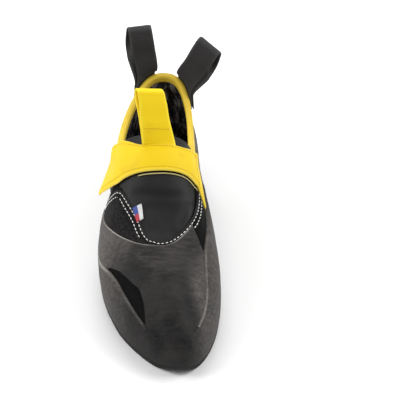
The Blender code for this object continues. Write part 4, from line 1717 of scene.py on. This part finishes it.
@dataclass
class ClosureStrap:
    """Yellow strap over the instep, its free end pointed and slightly raised.

    Its free end stands up by `lift` over a share `lifted` of its run, and its rear edge is
    held down by the share `rear_hold` of that.  Rays in metres find what lies beneath; hollows
    are bridged in `bridging` steps and the result is smoothed in `smoothing` more.
    """

    axis_x: float = 1.0
    axis_z: float = 42.0
    thick: float = 2.0
    lift: float = 6.5
    lifted: float = 0.2
    rear_hold: float = 0.85
    clear: float = 0.8
    round: float = 1.2
    edge_mm: float = 1.0
    ray_start: float = 0.1
    ray_run: float = 0.085
    bridging: int = 14
    smoothing: int = 6
    along: int = 150
    across: int = 36

    def lines(self, first: float, last_key: float, front: float, rear: float,
              length: float) -> tuple[Grid, Grid]:
        """Angles and stations on the strap between two shares of its run and width.

        Args:
            first: Share of the strap's run where the patch starts.
            last_key: Share where it ends.
            front: Share of the width at its toe-ward side.
            rear: Share of the width at its heel-ward side.
            length: Length of the last in mm.

        Returns:
            Angles off the vertical in radians, and stations in mm.
        """
        table = np.array(STRAP)
        key = np.linspace(first, last_key, self.along) * (len(table) - 1)
        smooth = through(np.arange(len(table)), table, key)
        share = np.linspace(front, rear, self.across)[None]
        angle, place = (smooth[:, k, None] * (1 - share) + smooth[:, k + 2, None] * share
                        for k in (0, 1))
        return np.radians(angle), place * length

    def radii(self, last: ShoeLast, angle: Grid, place: Grid,
              under: Sequence[bpy.types.Object]) -> Grid:
        """Distance from the strap's axis to the outermost piece beneath, smoothed.

        Args:
            last: The foot form.
            angle: Angles off the vertical.
            place: Stations along the foot in mm.
            under: Pieces that the strap lies on.

        Returns:
            Radii in mm at each angle and station.
        """
        graph = bpy.context.evaluated_depsgraph_get()
        trees = [BVHTree.FromObject(obj, graph) for obj in under]
        found = np.zeros(angle.shape)
        for i, j in np.ndindex(angle.shape):
            ray = Vector((math.sin(angle[i, j]), 0.0, math.cos(angle[i, j])))
            axis = Vector(last.world(np.array([self.axis_x, place[i, j], self.axis_z])))
            for tree in trees:
                hit = tree.ray_cast(axis + ray * self.ray_start, -ray, self.ray_run)
                if hit[0] is not None:
                    found[i, j] = max(found[i, j], (hit[0] - axis).length / MM)
            if found[i, j] == 0.0 and j:
                found[i, j] = found[i, j - 1]
        smooth = found
        for _ in range(self.bridging):
            smooth = np.maximum(softened(smooth, 2), found)
        for _ in range(self.smoothing):
            smooth = softened(smooth, 0)
        return smooth

    def place(self, angle: Grid, station: Grid, radius: Grid) -> Grid:
        """Points at a radius from the strap's axis."""
        return np.stack([self.axis_x + np.sin(angle) * radius, station,
                         self.axis_z + np.cos(angle) * radius], axis=-1)

    def make(self, last: ShoeLast, under: Sequence[bpy.types.Object],
             finish: bpy.types.Material) -> tuple[bpy.types.Object, Grid]:
        """Builds the strap.

        Args:
            last: The foot form.
            under: Pieces it lies on.
            finish: Its material.

        Returns:
            The piece, and the grid of points of its outer face for stitching.
        """
        angle, station = self.lines(0.0, 1.0, 0.0, 1.0, last.length)
        radius = self.radii(last, angle, station, under)
        run = np.linspace(0, 1, self.along)[:, None]
        raised = self.lift * np.maximum(0, 1 - run / self.lifted) ** 1.3
        raised = raised * (1 - self.rear_hold * np.linspace(0, 1, self.across)[None])
        base = radius + self.clear + raised
        middle = self.place(angle, station, base)
        walk, wide = walked(middle), walked(middle, 1)
        near = np.minimum(np.minimum(walk, walk[-1:] - walk), np.minimum(wide, wide[:, -1:] - wide))
        pinch = (self.thick / 2) * (1 - quarter_round(near / self.round)) * 0.9
        top = self.place(angle, station, base + self.thick - pinch)
        low = self.place(angle, station, base + pinch)
        # Edge mark of the strap, which its tape paints paler as a highlight
        wear = bell(near, self.edge_mm)
        cloth = Fabric(last)
        first = cloth.add(top, lay_u=walk, lay_v=wide, wear=wear)
        second = cloth.add(low, flip=True, lay_u=walk, lay_v=wide, wear=wear)
        cloth.join(np.stack([outline(second), outline(first)], axis=1), ring=True)
        return cloth.piece("instep_strap", finish, "strap"), top


@dataclass
class Cord:
    """A thin rounded edge or cord along a line on the shoe."""

    name: str
    slot: str
    radius: float

    def make(self, last: ShoeLast, lines: Sequence[tuple[Grid, Grid]],
             finish: bpy.types.Material) -> bpy.types.Object:
        """Builds the cord.

        Args:
            last: The foot form.
            lines: For each length of it, its points and the surface's normals there.
            finish: Its material.

        Returns:
            The piece.
        """
        cloth = Fabric(last)
        for points, normals in lines:
            spine, up = points[::4], unit(normals[::4])
            side = unit(np.cross(unit(np.gradient(spine, axis=0)), up))
            size = np.full(len(spine), self.radius)
            size[[0, -1]] *= 0.5
            cloth.bar(spine, side, up, size, 10)
        return cloth.piece(self.name, finish, None)


@dataclass
class Tag:
    """Small woven label sewn at the throat on the little-toe side, without words."""

    row: float = 4.06
    row_span: float = 1.0
    across: float = 0.128
    across_span: float = 0.125
    clear: float = 0.6
    thick: float = 0.7
    sunk: float = 0.4
    edge_fall: float = 0.3
    edge_share: float = 0.05

    def make(self, last: ShoeLast, finish: bpy.types.Material) -> bpy.types.Object:
        """Builds the label.

        Args:
            last: The foot form.
            finish: Its material.

        Returns:
            The piece.
        """
        a = np.linspace(0, 1, 22)
        r, u = np.meshgrid(a, a, indexing="ij")
        near = np.minimum(np.minimum(r, 1 - r), np.minimum(u, 1 - u))
        fall = self.edge_fall * bell(near, self.edge_share)
        row = self.row + r * self.row_span
        place = self.across + u * self.across_span
        top = last.arch(row, place, self.clear + self.thick - fall)
        low = last.arch(row, place, self.clear * np.ones_like(row) - self.sunk)
        cloth = Fabric(last)
        first = cloth.add(top, flip=True, across=u, down=r)
        second = cloth.add(low, across=u, down=r)
        cloth.join(np.stack([outline(second), outline(first)], axis=1), ring=True)
        return cloth.piece("throat_label", finish, "tag")


@dataclass
class Stitching:
    """Rows of thick thread, each stitch a small rounded bar pulled into the cloth."""

    name: str
    slot: str
    pitch: float = 3.1
    length: float = 2.1
    radius: float = 0.36

    def make(self, last: ShoeLast, seams: Sequence[tuple[Grid, Grid]],
             finish: bpy.types.Material) -> bpy.types.Object:
        """Builds all the stitches as one piece.

        Args:
            last: The foot form.
            seams: For each row of stitching, its points and the surface's normals there.
            finish: Thread's material.

        Returns:
            The piece.
        """
        cloth = Fabric(last)
        share = np.linspace(0, 1, 7)
        bow = np.sin(np.pi * share) ** 0.5
        size = self.radius * (0.45 + 0.55 * bow)
        rise = self.radius * (0.9 * bow - 0.45)
        for points, normals in seams:
            walk = walked(points)
            for start in np.arange(0.4, walk[-1] - self.length, self.pitch):
                where = start + self.length * share
                spine, up = (np.stack([np.interp(where, walk, grid[:, k]) for k in range(3)], 1)
                             for grid in (points, normals))
                up = unit(up)
                side = unit(np.cross(unit(np.gradient(spine, axis=0)), up))
                cloth.bar(spine + up * rise[:, None], side, up, size, 8)
        return cloth.piece(self.name, finish, None)


@dataclass
class Studio:
    """Pale floor, soft studio lights and the camera at the photograph's angle."""

    distance: float = 1.3
    elevation: float = 42.0
    target: tuple[float, float, float] = (-0.0001, 0.0075, 0.045)
    pixels_per_mm: float = 1.36
    frame_px: float = 400.0
    target_px: tuple[float, float] = (160.0, 205.0)
    floor_half: float = 6.0
    light_size: float = 0.9
    surround: float = 0.48

    def floor(self) -> None:
        """Lays the floor."""
        mesh = bpy.data.meshes.new("floor")
        corners = [(x * self.floor_half, y * self.floor_half, 0.0)
                   for x, y in ((-1, -1), (1, -1), (1, 1), (-1, 1))]
        mesh.from_pydata(corners, [], [(0, 1, 2, 3)])
        made, tree, shader = start_material("pale_floor")
        feed(tree, shader, {"Base Color": "#fcfcfc", "Roughness": 0.6,
                            "Specular IOR Level": 0.3})
        mesh.materials.append(made)
        obj = bpy.data.objects.new("floor", mesh)
        bpy.context.collection.objects.link(obj)

    def lights(self) -> None:
        """Hangs large soft lights at both sides and behind, in a white surround."""
        world = bpy.data.worlds.new("white_surround")
        bpy.context.scene.world = world
        world.use_nodes = True
        bpy.context.scene.view_settings.view_transform = "Standard"
        back = world.node_tree.nodes["Background"]
        back.inputs["Color"].default_value = (1.0, 1.0, 1.0, 1.0)
        back.inputs["Strength"].default_value = self.surround
        for name, place, power in (("right_light", (1.25, 0.15, 1.05), 15.0),
                                   ("left_light", (-1.25, 0.05, 0.95), 15.0),
                                   ("back_light", (-0.1, 1.1, 1.3), 11.0)):
            data = bpy.data.lights.new(name, "AREA")
            data.energy = power
            data.size = self.light_size
            obj = bpy.data.objects.new(name, data)
            obj.location = place
            obj.rotation_euler = (Vector(self.target) - Vector(place)).to_track_quat(
                "-Z", "Y").to_euler()
            bpy.context.collection.objects.link(obj)

    def camera(self) -> None:
        """Sets up the camera."""
        data = bpy.data.cameras.new("photo_camera")
        data.sensor_width = 36.0
        data.lens = self.pixels_per_mm * self.distance / MM * data.sensor_width / self.frame_px
        data.shift_x = (self.frame_px / 2 - self.target_px[0]) / self.frame_px
        data.shift_y = (self.target_px[1] - self.frame_px / 2) / self.frame_px
        data.clip_start = 0.05
        data.clip_end = 50.0
        tilt = math.radians(self.elevation)
        obj = bpy.data.objects.new("photo_camera", data)
        target = Vector(self.target)
        back = Vector((0.0, -math.cos(tilt), math.sin(tilt)))
        obj.location = target + back * self.distance
        obj.rotation_euler = (-back).to_track_quat("-Z", "Y").to_euler()
        bpy.context.collection.objects.link(obj)
        bpy.context.scene.camera = obj


def above(curve: ClosedCurve, lift: float) -> Callable[[Grid], Grid]:
    """A wall height that follows a closed curve at a fixed lift."""
    return lambda row: curve.at(row) + lift


def patch_bottom(row: Grid) -> Grid:
    """Lower edge of the toe patch: along the rand, and over the window.

    Args:
        row: Row numbers.

    Returns:
        Shares of the way up the wall.
    """
    seam = ClosedCurve(RAND_TOP).at(row) + SEAM
    inside = (row > WINDOW[0][0]) & (row < WINDOW[-1][0])
    open_seam = np.where(inside, np.maximum(seam, MonotoneCurve(WINDOW).at(row)), seam)
    return open_seam - merged(row) * 0.022


def merged(row: Grid) -> Grid:
    """How far the patch and the rand are ground into one surface, from 0 to 1."""
    return 0.95 * smoothstep(-1.65, -1.3, row) * smoothstep(1.70, 1.52, row)


# Rows and heights of the seam round the throat, past 1 on the panel.
THROAT_SEAM = (
    (6.17, 0.45), (6.12, 0.62), (6.04, 0.80), (5.97, 0.95), (5.88, 1.045), (5.72, 1.065),
    (5.14, 1.095), (3.98, 1.13), (2.62, 1.085), (1.46, 1.006), (0.7, 0.994), (0.0, 0.990),
    (-0.91, 0.990), (-2.0, 0.987), (-3.19, 0.98), (-4.21, 0.965), (-5.09, 0.94), (-5.81, 0.90),
    (-6.4, 0.88))


def throat_line(place: ThroatPlace, path: Sequence[tuple[float, float]], side: float,
                lift: float) -> tuple[Grid, Grid, Grid]:
    """A line beside the throat, smoothed where it climbs from the wall to the panel.

    Args:
        place: Places round the throat.
        path: The middle line as row numbers and heights.
        side: Distance off it in mm, by its sign to one side or the other.
        lift: Height over the surface beneath in mm.

    Returns:
        Points of the line, the surface's normals there, and row numbers.
    """
    count = len(path)
    row, w = through(np.arange(count), np.array(path), np.linspace(0, count - 1, 900)).T
    flat, normals = place.at(row, w, lift), place.normal(row, w)
    kernel = np.hanning(61) / np.hanning(61).sum()
    flat, normals = (np.stack([np.convolve(np.pad(grid[:, k], 30, mode="edge"), kernel, "valid")
                               for k in range(3)], 1) for grid in (flat, normals))
    along = unit(np.gradient(flat, axis=0))
    return flat + unit(np.cross(along, normals)) * side, unit(normals), row


def strap_seam(face: Grid, column: int) -> tuple[Grid, Grid]:
    """A row of stitching along the strap, a few lines in from an edge.

    Args:
        face: Points of the strap's outer face.
        column: Line of the grid to follow, counted from either edge.

    Returns:
        Points of the row and the surface's normals there.
    """
    across = np.gradient(face, axis=1)
    along = np.gradient(face, axis=0)
    normals = unit(np.cross(across, along))
    centre = face.mean(axis=(0, 1)) - np.array([0.0, 0.0, 40.0])
    line, lean = face[3:-3, column], normals[3:-3, column]
    sign = np.sign(np.sum((line - centre) * lean, axis=-1, keepdims=True))
    return line + lean * sign * 0.05, lean * sign


def heel_strip(row: Grid) -> Grid:
    """Extra height of the rubber strip that runs up the back of the heel."""
    return 0.45 * smoothstep(0.60, 0.54, np.abs(row - HEEL_ROW))


def rand_pale_mottle(row: Grid, t: Grid) -> Grid:
    """Where the rand takes a paler mottled tone: along both sides, not on the toe."""
    return (0.55 * smoothstep(-0.6, -2.2, row) * smoothstep(-6.8, -4.5, row)
            + 0.65 * smoothstep(2.2, 4.2, row) * smoothstep(7.0, 5.5, row))


def patch_pale_mottle(row: Grid, t: Grid) -> Grid:
    """Where the toe patch takes a paler mottled tone: at the seam and on the little-toe side."""
    return (0.75 * smoothstep(-1.4, -2.6, row) * smoothstep(0.84, 0.56, t)
            + 0.75 * smoothstep(3.0, 4.8, row) + 0.25 * smoothstep(0.7, 0.9, t))


# How brightly the pale line along the rubbed upper edges shows along the rows, partly wear and
# partly painted highlight.
RAND_SHINE = ((-7.0, 0.1), (-5.0, 0.15), (-4.3, 0.2), (-3.9, 0.7), (-3.2, 1.0), (-1.5, 0.8),
              (-1.2, 0.0), (1.6, 0.0), (1.9, 0.25), (3.9, 0.3), (4.3, 1.0), (5.2, 0.9), (7.0, 0.3))
PATCH_SHINE = ((-4.1, 0.3), (-3.9, 1.0), (-2.8, 1.0), (-1.6, 0.4), (1.2, 0.4), (2.2, 0.9),
               (4.8, 0.9), (5.5, 0.4), (6.4, 0.3))
TOE_CREASES = (
    Crease(((-12.0, 17.5, 22.5), (-7.0, 14.2, 23.5), (0.0, 10.5, 25.0), (7.0, 8.0, 26.5),
            (13.0, 8.5, 27.0)), 1.1, 0.4),
    Crease(((20.0, 12.0, 22.0), (30.0, 24.0, 22.0), (37.0, 42.0, 24.0)), 5.0, 0.5),
    Crease(((-24.0, 70.0, 56.0), (-8.0, 62.0, 55.0), (12.0, 62.0, 54.0), (27.0, 70.0, 51.0)),
           5.0, 0.45),
)
PANEL_CREASES = (
    Crease(((-20.0, 112.0, 72.0), (-8.0, 107.0, 76.0), (8.0, 105.0, 76.0), (20.0, 110.0, 73.0)),
           3.6, 1.3),
    Crease(((21.0, 106.0, 69.0), (17.0, 97.0, 66.0), (12.0, 88.0, 63.0)), 3.2, 0.9),
    Crease(((-8.0, 100.0, 69.0), (-3.0, 92.0, 65.0), (4.0, 84.0, 61.0)), 3.6, -0.7),
)
UPPER_CREASES = (
    Crease(((-34.0, 165.0, 66.0), (-37.0, 172.0, 50.0), (-36.0, 178.0, 34.0)), 4.0, 0.9),
    Crease(((30.0, 168.0, 66.0), (33.0, 176.0, 50.0), (32.0, 182.0, 36.0)), 4.0, 0.9),
    Crease(((-37.0, 138.0, 62.0), (-41.0, 146.0, 50.0), (-41.0, 160.0, 40.0)), 3.5, 0.6),
)
LINING_CREASES = (
    Crease(((14.6, 228.8, 70.0), (15.5, 230.5, 54.0), (19.0, 227.0, 40.0)), 1.8, 1.5),
    Crease(((21.0, 222.0, 62.0), (20.5, 224.0, 50.0), (24.0, 216.0, 36.0)), 1.8, 1.3),
    Crease(((-24.5, 206.4, 58.0), (-24.0, 208.0, 48.0), (-27.0, 200.0, 36.0)), 1.8, 1.5),
    Crease(((10.0, 232.0, 60.0), (16.0, 230.0, 52.0), (22.0, 222.0, 48.0)), 1.5, 1.1),
    Crease(((24.0, 200.0, 70.0), (24.0, 192.0, 55.0), (24.0, 186.0, 42.0)), 2.5, 1.3),
)


def main() -> None:
    """Builds the shoe's pieces in order, then the studio."""
    logging.basicConfig(level=logging.INFO, format="%(name)s %(message)s")
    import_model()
    last = ShoeLast()
    rubber = MouldedRubber().build()
    nap = Microfibre().build()
    neoprene = Neoprene().build()
    # Tape of the strap; its paler rim is a painted highlight along the strap's edges
    yellow = Webbing().build()
    # Lighter copy of the yellow tape for the tongue loop: painted light, as the loop is lit less
    # than the strap; its paler rim is a painted highlight on the loop's sides
    bright = Webbing("lit_loop_woven_tape", "#f9d900", "#f3cf00", "#e0b810", "#fdea3c").build()
    # Paler copy of the yellow tape for the collar: its paleness is a painted highlight on the
    # rounded collar, and its darker rim is painted shade on the tape's rounded edges, also standing
    # for its darker hem line
    pale_lit_tape = Webbing("pale_lit_woven_tape", "#e6cb50", "#dcb92e", "#a9831e", "#8f6a10").build()
    # Black tape of the heel loops; its paler rim is a painted highlight on the loops' sides
    black = Webbing("black_tape", "#312f31", "#272627", "#3d3c3c", "#464544", yarn_mm=0.9,
                    roughness=0.72, weave=Weave.TWILL).build()
    pale = PlainCloth("pale_cord", "#b3a46a", "#cfc186", grain_mm=0.6, roughness=0.7).build()
    # Near-black finish of the cord that paints the shadow beside the throat edge
    shadow_cord_finish = PlainCloth("painted_shadow_cord", "#060606", "#0e0d0d").build()
    lining = CoatedLining().build()
    board = PlainCloth("insole_fibreboard", "#2b2a29", "#3b3936").build()
    thread = PlainCloth("bonded_thread", "#e6e5e1", "#f7f6f3", grain_mm=0.6,
                        roughness=0.7).build()
    gold = PlainCloth("yellow_thread", "#a9820c", "#c79c10", grain_mm=0.6, roughness=0.7).build()
    label = TricolourCloth().build()

    Outsole().make(last, rubber)
    Insole().make(last, board)
    upper, _ = Upper(creases=UPPER_CREASES, inner_creases=LINING_CREASES).make(last, nap, lining)
    form = InstepPanel(creases=PANEL_CREASES)
    panel = form.make(last, neoprene)
    place = ThroatPlace(last, form)
    rand = RubberSheet("rand", "rand", first=-6.988, last_row=6.988, bottom=zero,
                       top=ClosedCurve(RAND_TOP).at, depth=2.7, lines=30, per_row=24,
                       hidden_top=merged, creases=TOE_CREASES, dust=rand_pale_mottle,
                       shine=RAND_SHINE).make(last, rubber)
    RubberSheet("heel_cup", "heel_cup", first=7.0, last_row=15.0, bottom=zero,
                top=ClosedCurve(HEEL_TOP).at, depth=2.8, per_row=20,
                lift=heel_strip).make(last, rubber)
    RubberSheet("heel_band", None, first=8.5, last_row=13.5,
                bottom=above(ClosedCurve(HEEL_TOP), -0.02), top=lambda row: 0.93 + zero(row),
                depth=1.0, lines=24, slot="neoprene").make(last, neoprene)
    RubberSheet("toe_patch", "toe_patch", first=-4.1, last_row=6.4, bottom=patch_bottom,
                top=ClosedCurve(PATCH_TOP).at, depth=2.2, open_bottom=True, lines=50, per_row=28,
                hidden_bottom=merged, lean=0.5, creases=TOE_CREASES, dust=patch_pale_mottle,
                shine=PATCH_SHINE).make(last, rubber)
    tape = CollarBinding().make(last, pale_lit_tape)
    strap = ClosureStrap()
    beneath = (upper, panel, rand, tape)
    _, face = strap.make(last, beneath, yellow)
    angle, station = strap.lines(first=0.33, last_key=0.80, front=-0.035, rear=0.4,
                                 length=last.length)
    cord = strap.place(angle, station, strap.radii(last, angle, station, beneath) + 0.5)[:, 0]
    ray = np.stack([np.sin(angle), zero(angle), np.cos(angle)], axis=-1)[:, 0]
    Cord("strap_cord", "yellow_webbing", radius=0.45).make(last, [(cord, ray)], pale)
    shares = np.linspace(-0.5, 0.5, 20)
    for name, row, lean, across, twist, drift in HEEL_LOOPS:
        loop = TapeLoop(name, name, "black_webbing", lean, across, taper=1.0, foot_gap=0.8,
                        half_wall=0.95, legs=11.0, outside=4.4, bulge=3.6, twist=twist,
                        drift=drift)
        loop.make(last, rim_frame(last, row + shares * 0.9), black)
    pull = TapeLoop("tongue_loop", "tongue_loop", "yellow_webbing", lean=(-7.9, 22.8, 39.0),
                    across=(0.93, 0.27, -0.24), taper=0.82, foot_gap=2.35, half_wall=1.5,
                    legs=2.5, slit=1.0, bulge=2.1)
    pull.make(last, panel_frame(last, 0.54 + shares * 0.325, PULL_ROW), bright)
    Tag().make(last, label)
    # Lighter copy of the shell's microfibre for the vamp piece: the extra lightness is painted
    # light, the piece catching more light than the shell
    VampPiece().make(place, Microfibre("lit_vamp_microfibre", "#131212", "#343232").build())
    hems = [strap_seam(face, 4), strap_seam(face, -5), strap_seam(face.swapaxes(0, 1), 121)]
    hems += pull.seams(17.1)
    Stitching("strap_stitches", "yellow_webbing", pitch=2.2, length=1.5,
              radius=0.2).make(last, hems, gold)
    inner, up, _ = throat_line(place, THROAT_SEAM, side=-1.2, lift=1.0)
    lower, rise, row = throat_line(place, THROAT_SEAM, side=2.1, lift=1.0)
    seams = [(inner, up), (lower[row > 2.4], rise[row > 2.4]),
             (lower[row < -4.1], rise[row < -4.1])]
    # Painted shadow: a dark cord on the panel along the raised throat edge, where there is only
    # shade
    hem, lean, _ = throat_line(place, THROAT_SEAM, side=-2.5, lift=0.5)
    Cord("throat_shadow_cord", "suede", radius=0.8).make(last, [(hem, lean)], shadow_cord_finish)
    Stitching("throat_stitches", "suede", pitch=3.1, length=2.0,
              radius=0.32).make(last, seams, thread)

    studio = Studio()
    studio.floor()
    studio.lights()
    studio.camera()


if __name__ == "__main__":
    main()
